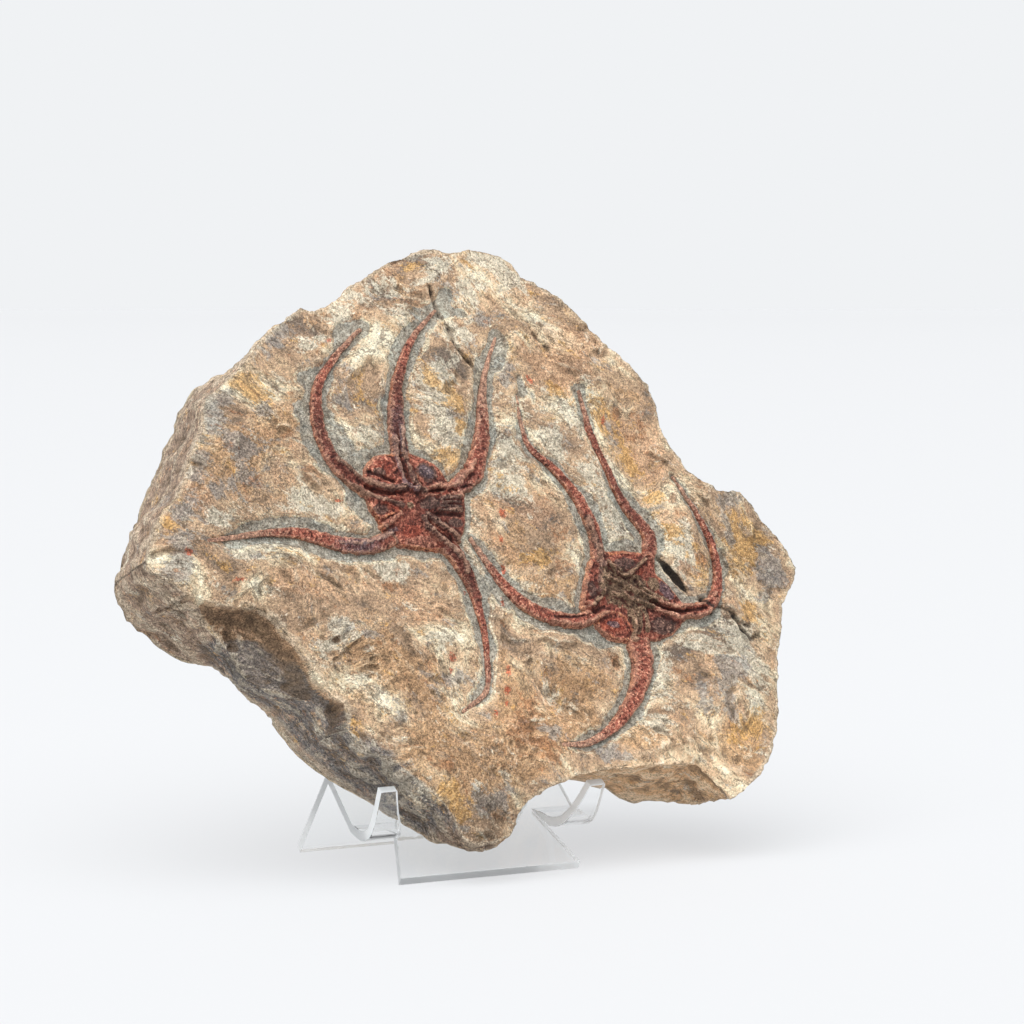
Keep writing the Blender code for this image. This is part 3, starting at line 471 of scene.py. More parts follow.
def faceRelief(u, v):
    # Height of the face and its measures: broad form, trenches exp(-((g - a) / b)^2) beside the
    # arms, shallower beside thin ones, islands between them, cracks c exp(-(d / width)^2), steps,
    # pits, terraces floor(t) + s(t) - 0.6 t along the beds, waves, creases and fine beds.
    place = np.column_stack([u, v, 0 * u])
    gap, skin = np.minimum(starGap(u, v, leftStar), starGap(u, v, rightStar))
    halo = skin - relief["haloWander"] * roughNoise(place, 11, 31, 4) + ovals(u, v, relief["haloLobes"])
    height = baseHeight(u, v)
    trench = np.exp(-((np.maximum(gap, 0) - relief["trenchAt"]) / relief["trenchWidth"]) ** 2)
    share = (gap - skin) / relief["haloWidth"]
    stout = np.clip((share - relief["haloShare"]) / (1 - relief["haloShare"]), 0, 1)
    height -= relief["trenchDepth"] * trench * stout
    height -= (relief["bedDepth"] - relief["trenchDepth"]) * rise(-gap, 0.1, 1.3)
    height += relief["islandRise"] * rise(halo, -1.2, 1.6) * np.exp(-np.maximum(gap, 0) / 22)
    # Distance to the nearest crack or slit, which the stone's colour fills with painted shade.
    crack = np.full(len(u), 9.0)
    for width, depth, line in relief["cracks"]:
        away = lineDistance(u, v, line)[0] + 0.25 * smoothNoise(place, 2.5, 51)
        height -= depth * np.exp(-(away / (width + 0.15)) ** 2)
        crack = np.minimum(crack, away - 0.5 * width)
    for drop, run, reach, line in relief["steps"]:
        away, side = lineDistance(u, v, line)
        away = away + 0.5 * smoothNoise(place, 5, 52)
        height -= drop * np.clip(0.5 - side * away / run / 2, 0, 1) * np.exp(-(away / reach) ** 2)
    hollow = ovals(u, v, [(hu, hv, size, size, 0, depth) for hu, hv, size, depth in relief["holes"]])
    height -= hollow
    slit = ovals(u, v, relief["slits"])
    height -= slit
    crack = np.minimum(crack, 0.6 - slit)
    pitted = np.minimum(ovals(u, v, relief["pitted"]), 1.2)
    pits = rise(roughNoise(place, 2.6, 69, 2), 0.15, 0.5)
    height -= relief["pitDepth"] * pitted * pits * rise(gap, 0.5, 2)
    flow = flowGrain(u, v)
    free = rise(gap, 1.5, 6)
    broken = rise(roughNoise(place, 17, 64, 3), -0.1, 0.4)
    for cell, levels, drop, seed in relief["terraces"]:
        terrace = roughNoise(flow * (0.75, 1.15, 1), cell, seed, 4, 0.5) * levels
        ledge = np.floor(terrace) + rise(terrace % 1, 0.42, 0.54) - 0.6 * terrace
        height += drop * ledge * free * (0.1 + 0.9 * broken)
    for amount, cell, seed, octaves in relief["waves"]:
        height += amount * roughNoise(place, cell, seed, octaves) * rise(gap, 0, 10)
    inScoop = rise(-baseHeight(u, v), 2.5, 5)
    height += relief["scoopRoughness"] * roughNoise(flow * (0.5, 1, 1), 7, 53, 3) * inScoop
    crease = np.abs(roughNoise(flow * (0.5, 1, 1), 13, 67, 3, 0.55))
    height -= relief["creaseDepth"] * (1 - rise(crease, 0, 0.05)) * free * broken
    beds = roughNoise(flow * (0.16, 1, 1), 2.6, 65, 3)
    bedHeight = relief["bedHeight"] + relief["crestBedHeight"] * rise(v, 150, 176)
    height += bedHeight * beds * (0.3 + 0.7 * free)
    edge = np.exp(-((halo - 0.3) / 0.45) ** 2)
    # The gap is pushed out beside thin arms, where the trench is shallow; the stone's colour paints shade
    # in the crevice round the fossils from it.
    return height, {"gap": gap + 1.2 * (1 - stout), "halo": halo, "edge": edge, "crack": crack,
                    "pitted": pitted}


def slabPlaces():
    # The loft: face grid, side rings r = (1 - d) face + d back + swell sin(pi d^0.7), and a back
    # grid with half as many cells. Gives the points, the triangles and each point's measures. The
    # grain starts anew where the face meets a side, so "aside" is what the sides' triangles have.
    around = 4 * slab["faceCells"]
    angles, along = rimAngles(around)
    direction = np.stack([np.cos(angles), np.sin(angles)], -1)
    faceRadius = outlineRadius(slab["outline"], angles)[0]
    backRadius, backEdge = outlineRadius(slab["backOutline"], angles)

    def outlineAt(radius, w):
        return np.column_stack([slab["centre"] + direction * radius[:, None], w])

    uv, ring, edge, faceRim = dished(outlineAt(faceRadius, 0 * faceRadius), slab["faceCells"])
    height, measures = faceRelief(uv[:, 0], uv[:, 1])
    height -= slab["edgeWear"] * ring ** 10
    points = [np.column_stack([uv, height])]
    side = [rise(ring, 0.985, 1.0) * 0.5]
    grain = [flowGrain(*uv.T)]
    faces = [gridFaces(np.arange(len(uv)).reshape(slab["faceCells"] + 1, -1))]
    before, total, rimHeight = faceRim, len(uv), height[faceRim]
    for depth in np.linspace(0, 1, slab["sideRings"] + 1)[1:-1] ** 1.15:
        away = (np.degrees(angles) % 360 - slab["cornerAt"]) / slab["cornerWidth"]
        swell = slab["swell"] + slab["cornerSwell"] * np.exp(-away ** 2)
        swell *= math.sin(math.pi * depth ** 0.7)
        radius = faceRadius * (1 - depth) + backRadius * depth + swell
        w = rimHeight * (1 - depth) + backEdge * depth
        points.append(outlineAt(radius, w))
        side.append(np.ones(around))
        grain.append(np.column_stack([along, w, np.full(around, 40.0)]))
        now = total + np.arange(around)
        total += around
        faces.append(np.stack([before, np.roll(before, -1), np.roll(now, -1)], -1))
        faces.append(np.stack([before, np.roll(now, -1), now], -1))
        before = now
    uv, ring, edge, backRim = dished(outlineAt(backRadius, backEdge)[::2], slab["faceCells"] // 2)
    blend = np.clip((1 - ring) / slab["backRim"], 0, 1) ** 0.8
    place = np.column_stack([uv, 0 * ring])
    middle = slab["backPlane"] - ovals(*uv.T, slab["backLumps"])
    middle -= 1.2 * roughNoise(place, 24, 71, 4) + 0.6 * roughNoise(place, 7, 77, 3, 0.6)
    w = edge * (1 - blend) + middle * blend
    clear = uv[:, 1] + slab["panelReach"] + np.clip(uv[:, 0] - slab["panelEnd"], 0, None)
    w = np.maximum(w, 0.4 - clear / slab["panelSlope"])
    points.append(np.column_stack([uv, w]))
    side.append(np.full(len(uv), 2.0))
    grain.append(np.column_stack([uv, np.full(len(uv), 80.0)]))
    grid = total + np.arange(len(uv)).reshape(slab["faceCells"] // 2 + 1, -1)
    faces.append(gridFaces(grid)[:, ::-1])
    now = total + backRim
    ahead = np.roll(now, -1)
    faces.append(np.stack([before[::2], before[1::2], now], -1))
    faces.append(np.stack([before[1::2], ahead, now], -1))
    faces.append(np.stack([before[1::2], np.roll(before[::2], -1), ahead], -1))
    points = np.concatenate(points)
    rest = len(points) - len(measures["gap"])
    beyond = {"pitted": 0.3, "edge": 0.0}
    measures = {label: np.concatenate([values, np.full(rest, beyond.get(label, 30.0))])
                for label, values in measures.items()}
    measures["side"] = np.concatenate(side)
    measures["grain"] = np.concatenate(grain)
    measures["aside"] = measures["grain"].copy()
    measures["aside"][faceRim] = np.column_stack([along, rimHeight, np.full(around, 40.0)])
    measures["aside"][now] = np.column_stack([along[::2], backEdge[::2], np.full(around // 2, 40.0)])
    return points, np.concatenate(faces), measures


def makeSlab(material):
    # The loft roughened along its normals, p + a n, with its measures and stains.
    place, faces, measures = slabPlaces()
    normal = vertexNormals(place, faces)
    if np.mean(np.sum(normal * (place - place.mean(axis=0)), axis=1)) < 0:
        faces = faces[:, ::-1]
        normal = -normal
    onSide = np.any(measures["side"][faces] == 1, axis=1)[:, None, None]
    measures["grain"] = np.where(onSide, measures.pop("aside")[faces], measures["grain"][faces])
    side = np.clip(measures["side"], 0, 1)
    calm = rise(measures["gap"], -0.5, 3)
    layers = roughNoise(place * (0.07, 0.07, 1), 2.4, 81, 3)
    chips = roughNoise(place, 11, 85, 3)
    rough = roughNoise(place, 3.4, 88, 3, 0.6)
    amount = side * (slab["sideLayers"] * layers + slab["sideChips"] * chips + slab["sideGrit"] * rough)
    amount += (0.1 + slab["faceGrit"] * calm) * rough - slab["worn"]
    overStand = (np.abs(place[:, 0] - 10) < 60) * (place[:, 1] < 70)
    clear = 1 - rise(-place[:, 2], 20, 30) * overStand      # smoother where it leans on the stand
    place = place + normal * (amount * (0.25 + 0.75 * clear))[:, None]
    shading = vertexNormals(place, faces)
    coarse = np.where(measures["side"] > 1.5, 0.3, 1)       # the back's cells are wider
    # How far each point lies in a hollow (+) or on a bump (-); the stone's colour paints shade into the
    # hollows and highlights onto the bumps from it.
    measures["cavity"] = hollows(place, faces, shading, 6) * coarse
    u, v = place[:, 0], place[:, 1]
    face = measures["side"] < 0.5
    # The scoop's brown runs under its lip and grows within a few mm of the lip, where its darkest layer
    # paints the lip's shadow.
    lip, under = lineDistance(u, v, slab["scoopLip"])
    near = 1 + 0.9 * np.exp(-lip / 3.2)
    measures["scoop"] = rise(-under * lip, -0.1, 0.5) * near * nearScoop(u, v) * face
    measures["light"] = ovals(u, v, slab["lights"])
    towardBack = rise(-place[:, 2], 18, 30)
    measures["darkSide"] = ovals(u, v, slab["darkSides"]) * (1 - 0.6 * towardBack)
    measures["brownSide"] = ovals(u, v, slab["brownSides"])
    for stain, patches in stains.items():
        spots = [(cu, cv, length, width, turn, 1.0) for cu, cv, length, width, turn in patches]
        measures[stain] = np.where(face, np.minimum(ovals(u, v, spots), 1.3), 0)
    piece = makePiece("stone_slab_surface", standUp(place), faces, measures, ["stone_slab"])
    piece.data.materials.append(material)
    print("slab", len(place), "points", len(faces), "triangles")


# What both stars share.
fossil = {
    "spokes": 288,
    "rings": 76,
    "armStep": 0.34,             # mm between an arm's sections
    "armColumns": 25,
    "domeRun": 2.4,              # the dome rises over this many mm
    "strokeLift": 2.4,
    "discGrit": 0.32,
    "armGrit": 0.3,
    "ragged": 0.15,              # how much an arm's edges vary
    "armSlope": 0.13,            # an arm's height is this share of its width, and this more
    "armHeight": 0.3,
    "jointSpacing": 1.25,
    # Of these looks, "dark" is painted shade in the grooves and pits.
    "looks": ("dusk", "violet", "bright", "pink", "brown", "dark", "rim"),
}

leftStar = {
    "centre": (-7.5, 108.3),
    "disc": [(-23.4, 113), (-23.2, 119.5), (-19.8, 123.8), (-16, 124.9), (-9, 125.3), (-3.2, 123.4),
             (0.9, 120.8), (4, 116.5), (8.6, 112), (8.8, 106.5), (7.3, 99.5), (1.5, 94.6), (-6, 94.8),
             (-15, 96.6), (-19, 100.5), (-20.6, 104.8), (-22.4, 108)],
    "dome": 1.9,
    "tones": [(-4, 108, 13, 11, 0, 0.7), (4, 106, 6, 7, 0, 0.4)],
    # Each arm: u, v, width from the disc's middle outwards, then how dusky and how violet it is
    # from base to tip, and where it fades into the stone.
    "arms": [
        {"path": [(-9.5, 109.2, 1.6), (-13, 110.8, 3.2), (-17, 112.2, 4.6), (-24, 115, 5.2),
                  (-31, 121.2, 4.8), (-34.9, 128.5, 4.3), (-36.5, 137, 3.9), (-35.2, 146.6, 3.0),
                  (-28.8, 155.5, 2.1), (-18.6, 165, 1.3)],
         "dusk": [(0, 0.5), (0.2, 0.3), (0.45, 0.75), (0.62, 0.45), (0.8, 0.1), (1, 0.0)],
         "violet": [(0, 0.35), (0.2, 0.15), (1, 0)], "fade": 0.98},
        {"path": [(-7.8, 110.2, 1.6), (-8.3, 113, 3.0), (-9, 116.5, 4.2), (-10, 120, 4.8),
                  (-10.5, 126, 5.4), (-10.4, 137, 5.2), (-8, 149, 3.5), (-1.8, 161.5, 2.1),
                  (7.5, 171, 1.0)],
         "dusk": [(0, 0.8), (0.15, 0.7), (0.45, 0.95), (0.6, 0.55), (0.72, 0.2), (1, 0.1)],
         "violet": [(0, 0.7), (0.15, 0.6), (0.42, 0.6), (0.55, 0.1), (1, 0)], "fade": 0.95},
        {"path": [(-5.2, 109.2, 1.6), (-2, 110.5, 2.8), (3, 112.2, 4.6), (8, 114.5, 6.0),
                  (12.7, 118, 6.6), (15.9, 124, 5.8), (18.4, 132, 4.6), (19.8, 143, 2.8),
                  (23.3, 154, 1.5), (27.2, 162, 1.0)],
         "dusk": [(0, 0.2), (0.25, 0.1), (0.35, 0.2), (0.5, 0.5), (0.62, 0.3), (0.8, 0.1), (1, 0.1)],
         "violet": [(0, 0.2), (0.22, 0.55), (0.35, 0.3), (0.5, 0.05), (1, 0)], "fade": 0.72},
        {"path": [(-9, 106.6, 1.6), (-11.5, 104, 2.8), (-14.5, 100.8, 4.4), (-18.5, 98.2, 5.2),
                  (-25, 96.8, 5.0), (-33, 97.5, 4.7), (-45, 101, 3.6), (-56, 102, 2.3),
                  (-67, 101, 1.7), (-76.5, 100, 1.2)],
         "dusk": [(0, 0.5), (0.15, 0.35), (0.35, 0.4), (0.5, 0.15), (1, 0)],
         "violet": [(0, 0), (0.15, 0.2), (0.3, 0.8), (0.42, 0.5), (0.52, 0), (1, 0)], "fade": 0.8},
        {"path": [(-6.2, 106.8, 1.6), (-4.5, 104, 3.0), (-1.5, 100, 4.8), (1.5, 96, 5.6),
                  (4.5, 91.5, 5.0), (8, 83, 3.8), (9.7, 72, 2.2), (10, 60, 1.8), (8, 50, 1.7),
                  (-1, 44, 1.3)],
         "dusk": [(0, 0.8), (0.15, 0.75), (0.35, 0.8), (0.5, 0.35), (0.7, 0.15), (1, 0.3)],
         "violet": [(0, 0.6), (0.2, 0.4), (0.35, 0.2), (0.5, 0), (1, 0)], "fade": 0.86},
    ],
    # Ridges and grooves: what they look like, half width, height, line; the "dark" look paints shade into
    # the grooves.
    "strokes": [
        ("dusk", 1.0, 0.95, [(-31.5, 123.6), (-28.7, 121.1), (-25.8, 118.4), (-22.8, 116.6), (-19.3, 115.1),
                             (-15.3, 114.2), (-11.3, 114.3)]),
        ("dusk", 0.8, 0.8, [(-33.5, 119.6), (-32, 117), (-28.1, 115.2), (-24.7, 113.1), (-20.7, 111.5),
                            (-16.7, 110.2), (-12.7, 108.8)]),
        ("bright", 0.8, -0.6, [(-23.5, 114.8), (-21.8, 113.9), (-17.3, 112.9), (-11.7, 112.8)]),
        ("dark", 0.5, -0.45, [(-21.8, 119.4), (-18.5, 117.8), (-14.5, 116.2)]),
        ("rim", 0.4, 0.3, [(-22.8, 120.5), (-19.5, 124.2), (-16.2, 124.8), (-12.5, 124.4)]),
        ("violet", 0.8, 0.7, [(-12.3, 130), (-12.3, 126.4), (-12.5, 122.9), (-11.8, 119.3), (-10.5, 115.3),
                              (-7.2, 113.5)]),
        ("dusk", 0.9, 0.85, [(-9.6, 133), (-10.2, 126.4), (-9.5, 122.4), (-8.6, 118.4), (-7.2, 114.8),
                             (-5.1, 113)]),
        ("rim", 0.3, -0.25, [(-11, 132), (-11.2, 125.5), (-11.1, 121.1), (-10.2, 117.1)]),
        ("rim", 0.35, 0.3, [(-8.4, 127), (-7.5, 125.4), (-3.2, 123.5), (0.7, 121.2), (2.2, 118.1)]),
        ("rim", 0.3, 0.25, [(-8.1, 126), (-8.1, 122.3), (-7.4, 117.4), (-5.5, 113.4)]),
        ("pink", 0.9, 0.85, [(-5.1, 113.4), (-0.2, 114.5), (3.1, 114.4), (6.5, 114.8), (9.2, 117.4),
                             (11.4, 119.2), (13.5, 122)]),
        ("pink", 0.9, 0.75, [(-4.9, 111.4), (-0.1, 111.9), (3.7, 112.2), (7.4, 111.5), (11.8, 112)]),
        ("bright", 0.5, -0.3, [(-2.9, 112.5), (0.8, 111.8), (4.3, 112.7)]),
        ("dark", 0.45, -0.5, [(8.4, 113.8), (11.6, 114.4), (13, 113.4)]),
        ("dusk", 0.55, 0.5, [(0.2, 110.2), (3.4, 110.7), (6.8, 110.6)]),
        ("dusk", 0.5, 0.45, [(0.9, 109), (4, 109.3), (7.1, 109.1)]),
        ("dusk", 0.5, 0.45, [(0.3, 107.9), (3.5, 108), (6.9, 107.6)]),
        ("dusk", 0.55, 0.5, [(-0.8, 106.7), (3, 106.8), (7.2, 106.4)]),
        ("dark", 0.7, -0.35, [(-3.3, 105.4), (1.8, 105.3), (6.5, 104.8)]),
        ("dusk", 0.95, 0.95, [(-6.3, 104.6), (-4.4, 101.1), (-1.1, 97.9), (2.3, 95.1), (4.7, 91.9),
                              (6.5, 87.5)]),
        ("dusk", 0.9, 0.9, [(-4.7, 105.5), (-1.3, 102.7), (2.5, 99.9), (5.5, 97.2), (7.4, 94),
                            (9, 88)]),
        ("bright", 0.45, -0.5, [(-5, 103.7), (-1.7, 100.1), (2.6, 96.8), (5.8, 93)]),
        ("rim", 0.4, 0.3, [(-15, 96.6), (-10.7, 96), (-6.2, 95.1), (-0.6, 94.6)]),
        ("rim", 0.35, 0.35, [(-23.4, 110.9), (-22, 107.8), (-20.1, 105.1), (-17.3, 105.9), (-13.9, 106.9)]),
        ("bright", 0.4, 0.3, [(-19.1, 110.1), (-14.3, 107.6)]),
        ("pink", 0.85, 0.65, [(-13.6, 106), (-17.1, 103.9), (-20.6, 102.1), (-23.9, 100.9), (-29.5, 99.6)]),
        ("dusk", 0.45, 0.45, [(-18.7, 102.4), (-17.1, 100.2), (-15.4, 97.3)]),
        ("violet", 0.8, 0.4, [(-15.5, 101.4), (-20.4, 99.3), (-27.5, 97.6), (-34.3, 97.9)]),
    ],
    # Plates between the arms: what they look like, u, v, length, width, turn, height; "dark" ones are pits
    # painted with shade.
    "plates": [
        ("bright", -17.7, 120.8, 3.6, 3.0, 15, 0.7), ("dusk", -19, 119.4, 2.6, 1.3, -25, 0.1),
        ("dusk", -3.2, 118.6, 4.2, 3.2, -28, 0.9), ("violet", -3.4, 118.8, 3.0, 2.2, -28, 0.1),
        ("dusk", -19.4, 107.7, 2.8, 2.0, -25, 0.3), ("bright", -10.1, 100.6, 4.0, 2.2, 0, -0.3),
        ("pink", -6.8, 97.2, 6.5, 2.2, 0, 0.4), ("dusk", -3.3, 108.9, 4.2, 2.2, 4, 1.0),
        ("brown", -9.9, 108.7, 1.3, 1.2, 0, 0.5), ("dark", 0.5, 113, 2.5, 0.75, 4, -1.5),
        ("dark", 11.3, 117.2, 0.8, 0.7, 0, -0.6), ("dark", 14.2, 116.4, 0.6, 0.7, 0, -0.4),
        ("dark", -12.2, 110.6, 1.0, 0.4, -20, -0.5), ("dark", -6.6, 109.6, 1.3, 0.5, 20, -0.5),
        ("dusk", 4.5, 102.5, 3.0, 1.6, 0, 0.2), ("dusk", -25.5, 97.6, 2.4, 0.9, 5, 0.3),
    ],
}

rightStar = {
    "centre": (62.5, 78.5),
    "disc": [(44.6, 75.4), (47.2, 82.6), (49.6, 88.4), (53, 91.5), (56.4, 91.4), (61.6, 91.6), (67, 91),
             (72, 88), (72.6, 83.8), (75.8, 80.4), (79, 76), (80.4, 72), (78.8, 68), (75, 64.4),
             (70.5, 62.9), (66, 62.6), (59, 62.6), (53.5, 63.8), (49.3, 67.2), (47.2, 71.6)],
    "dome": 1.8,
    "tones": [(62, 79, 14, 11, 0, 0.8), (70, 69, 8, 6, 0, 0.5), (54, 86, 5, 8, 0, 0.4)],
    "arms": [
        {"path": [(60, 78.8, 1.6), (57, 81.5, 3.6), (54.5, 86, 4.6), (53, 91, 4.6), (52, 99, 4.2),
                  (48, 109.5, 3.6), (42, 118, 2.6), (34, 126, 1.7), (32, 134, 1.3), (31.7, 143, 1.0)],
         "dusk": [(0, 0.8), (0.15, 0.6), (0.3, 0.3), (0.6, 0.15), (0.75, 0.3), (1, 0.4)],
         "violet": [(0, 0.3), (0.2, 0), (1, 0)], "fade": 0.9},
        {"path": [(64.5, 80, 1.6), (67, 83, 3.2), (69.8, 87.5, 4.4), (71.5, 92.5, 4.6),
                  (71, 98, 4.0), (65, 106, 3.0), (60, 117.5, 2.3), (56, 129, 1.8), (53, 144, 1.0)],
         "dusk": [(0, 0.6), (0.15, 0.5), (0.3, 0.5), (0.6, 0.5), (0.7, 0.4), (1, 0.2)],
         "violet": [(0, 0), (1, 0)], "fade": 1.0},
        {"path": [(65, 77, 1.6), (69, 74.5, 3.6), (74, 72.5, 5.0), (83, 71.2, 5.0),
                  (90.5, 73.5, 4.2), (95, 82, 2.8), (94.5, 93, 2.0), (90, 103, 1.4),
                  (83.5, 115.5, 0.9)],
         "dusk": [(0, 0.4), (0.12, 0.2), (0.3, 0.1), (0.5, 0.05), (0.8, 0.1), (1, 0.3)],
         "violet": [(0, 0.2), (0.3, 0), (1, 0)], "fade": 0.93},
        {"path": [(59.5, 77, 1.6), (56, 74.5, 3.6), (50, 72.3, 5.0), (42, 70.2, 4.8),
                  (32, 72.5, 4.4), (23, 78, 3.6), (17, 85.5, 2.6), (9.5, 98, 1.4)],
         "dusk": [(0, 0.4), (0.15, 0.15), (0.4, 0.05), (0.8, 0.15), (1, 0.3)],
         "violet": [(0, 0.2), (0.2, 0), (1, 0)], "fade": 0.95},
        {"path": [(62, 75, 1.8), (61.8, 71.5, 4.0), (62.2, 66, 6.8), (63, 60, 7.6), (63, 54, 7.0),
                  (58.5, 44.5, 5.0), (51, 37, 3.4), (41, 32, 2.2), (31, 32, 1.3)],
         "dusk": [(0, 0.6), (0.15, 0.2), (0.35, 0.15), (0.5, 0.2), (0.8, 0.05), (1, 0.0)],
         "violet": [(0, 0.1), (0.2, 0.15), (0.5, 0.1), (1, 0.1)], "fade": 0.88},
    ],
    "strokes": [
        ("dusk", 1.3, 0.8, [(50, 102), (50.3, 99), (51.9, 94.3), (52.9, 89.7), (52.7, 85.1), (51.3, 79.5)]),
        ("rim", 0.4, 0.3, [(54.2, 100), (54.7, 97.8), (55.6, 92.7), (56.7, 86.7)]),
        ("brown", 0.7, 0.95, [(68.2, 88.5), (64.9, 86.1), (61.7, 83.9), (59.3, 83.7), (56.8, 85.9),
                              (55, 88.6)]),
        ("brown", 0.8, 0.75, [(54.2, 83.5), (59, 81.2), (64.2, 78.4), (69.5, 75.6)]),
        ("pink", 0.85, 0.9, [(69.5, 75.6), (74.8, 73.2), (80.7, 73.2), (86.6, 74), (91.5, 76.4)]),
        ("brown", 0.75, 0.7, [(55.1, 78.3), (59.9, 76.5), (64.3, 75.3), (68, 73.1)]),
        ("pink", 0.85, 0.85, [(68, 73.1), (73.4, 70.6), (78.9, 69.1), (84.5, 69.4), (88.6, 70.9),
                              (91.6, 74.1)]),
        ("dark", 0.55, -0.6, [(68.4, 75), (73.6, 72.1), (80.4, 71.2), (87.4, 71.8)]),
        ("brown", 0.85, 0.75, [(59.1, 78.1), (60.3, 75), (61.3, 70.8), (61.3, 66.7), (60.7, 63.2)]),
        ("brown", 0.7, 0.6, [(65.1, 73.2), (66, 69.6), (65.7, 65.5)]),
        ("brown", 0.7, 0.6, [(53.2, 80.4), (51, 77.5), (47.8, 74.9)]),
        ("pink", 0.85, 0.75, [(47.8, 74.9), (43.1, 73.6), (39.8, 73.9), (34.5, 74.2)]),
        ("pink", 0.85, 0.75, [(33.6, 70.4), (39.1, 69.2), (42.5, 69), (45.9, 69.8), (51.9, 72.2)]),
        ("dark", 0.45, -0.4, [(34, 72), (41, 71.4), (47, 72.2), (52, 74.2)]),
        ("brown", 0.6, 0.5, [(65.3, 81.4), (67.2, 78.8), (70.8, 76.5), (74, 74.8)]),
        ("bright", 0.55, 0.5, [(49.6, 88.3), (47.3, 82.7), (45.1, 75.9)]),
        ("bright", 0.5, 0.4, [(44.8, 75.6), (48.5, 76), (52.1, 76.9)]),
        ("rim", 0.35, 0.3, [(56.4, 90.8), (61.6, 90.9), (66.6, 90.2)]),
        ("bright", 0.6, 0.3, [(68.1, 90.6), (70.6, 90), (72, 87.9)]),
        ("rim", 0.3, 0.25, [(71.9, 83.4), (75, 80), (77.8, 75.9)]),
        ("rim", 0.45, 0.3, [(49, 71.4), (49.7, 67.4), (53.5, 64.4), (58.6, 63.2)]),
        ("rim", 0.4, 0.3, [(49.6, 71.9), (54.7, 72.2), (58.4, 69.9), (60.3, 65.8)]),
        ("rim", 0.4, 0.2, [(58.6, 63.6), (59.6, 59.7), (60.4, 55)]),
        ("dark", 0.4, -0.35, [(57, 88), (57.6, 84.6), (60.6, 82.4)]),
    ],
    "plates": [
        ("dusk", 61, 87.3, 4.4, 2.2, 0, 0.4), ("brown", 60.5, 79, 10, 7, -20, 0.7),
        ("brown", 62, 70.5, 3.0, 5.6, 5, 0.4), ("brown", 54.6, 81.4, 4.2, 6, 10, 0.2),
        ("brown", 67, 76.4, 4.6, 2.4, -28, 0.4), ("brown", 70.4, 80.6, 2.8, 2.4, -40, 0.6),
        ("violet", 74.4, 78.4, 4.2, 2.7, -50, 0.7), ("bright", 54.1, 68, 4.2, 2.8, -15, 0.8),
        ("violet", 54.0, 68.1, 2.6, 1.1, -15, 0.1), ("dusk", 71.5, 67, 5.0, 3.2, 0, 0.3),
        ("dusk", 48.5, 79.8, 1.6, 3.8, 12, 0.2), ("dark", 64.4, 81.9, 0.9, 0.9, 0, -1.0),
        ("bright", 66.3, 84.5, 1.4, 1.0, 30, -0.2), ("dark", 58.2, 85.2, 0.9, 0.5, -30, -0.5),
        ("dark", 69.6, 89.4, 0.9, 0.6, 0, -0.5),
    ],
}


def discInside(u, v, star):
    # How far inside the disc's outline a place lies, in mm (negative outside).
    outline = smoothPath(star["disc"], 1.5, closed=True)[:, :2]
    ring = np.vstack([outline, outline[:1]])
    gap = lineDistance(u, v, ring)[0]
    inside = np.zeros(np.shape(u), bool)
    for (au, av), (bu, bv) in zip(ring[:-1], ring[1:]):
        crosses = (av > v) != (bv > v)
        at = au + (v - av) / np.where(bv == av, 1e-9, bv - av) * (bu - au)
        inside ^= crosses & (u < at)
    return np.where(inside, gap, -gap)


def starGap(u, v, star):
    # Distance outside the star's edge, the least of |p - c(s)| - width(s) / 2 and the disc's, and
    # outside its grey skin, which is narrower along thin arms.
    gap = -discInside(u, v, star)
    skin = gap - relief["haloWidth"]
    for arm in star["arms"]:
        path = smoothPath(arm["path"], 0.8)
        for start in range(0, len(path), 12):
            some = path[start:start + 13]
            away = np.hypot(u[:, None] - some[:, 0], v[:, None] - some[:, 1]) - some[:, 2] / 2
            gap = np.minimum(gap, away.min(axis=1))
            share = relief["haloShare"] + (1 - relief["haloShare"]) * some[:, 2] / relief["haloFull"]
            reach = relief["haloWidth"] * np.minimum(share, 1)
            skin = np.minimum(skin, (away - reach).min(axis=1))
    return gap, skin


def domeHeight(u, v, star):
    # The disc's dome, h (1 - exp(-inside / run)).
    inside = np.maximum(discInside(u, v, star), 0)
    return star["dome"] * (1 - np.exp(-inside / fossil["domeRun"]))


def starDetail(u, v, star):
    # Height of ridges, grooves and plates, h exp(-(d / width)^3), and how strongly each look
    # shows, exp(-(0.8 d / width)^3).
    looks = {look: np.zeros(len(u)) for look in fossil["looks"]}
    place = np.column_stack([u, v, 0 * u])
    lift = np.zeros(len(u))
    wobble = 0.5 * roughNoise(place, 2.2, 121, 3, 0.6)
    broken = 0.75 + 0.5 * roughNoise(place, 3.4, 125, 2)
    for look, width, height, line in star["strokes"]:
        path = smoothPath([(*point, 0) for point in line], 1.0)[:, :2]
        away = np.abs(lineDistance(u, v, path)[0] + wobble * width)
        lift += fossil["strokeLift"] * height * broken * np.exp(-(away / width) ** 3)
        looks[look] = np.maximum(looks[look], np.exp(-(0.8 * away / width) ** 3))
    for look, *oval, height in star["plates"]:
        shape = ovals(u, v, [(*oval, 1.0)])
        lift += height * shape
        shape = shape * (1 + 0.8 * wobble)
        looks[look] = np.maximum(looks[look], rise(shape, 0.25, 0.6))
    return lift, looks


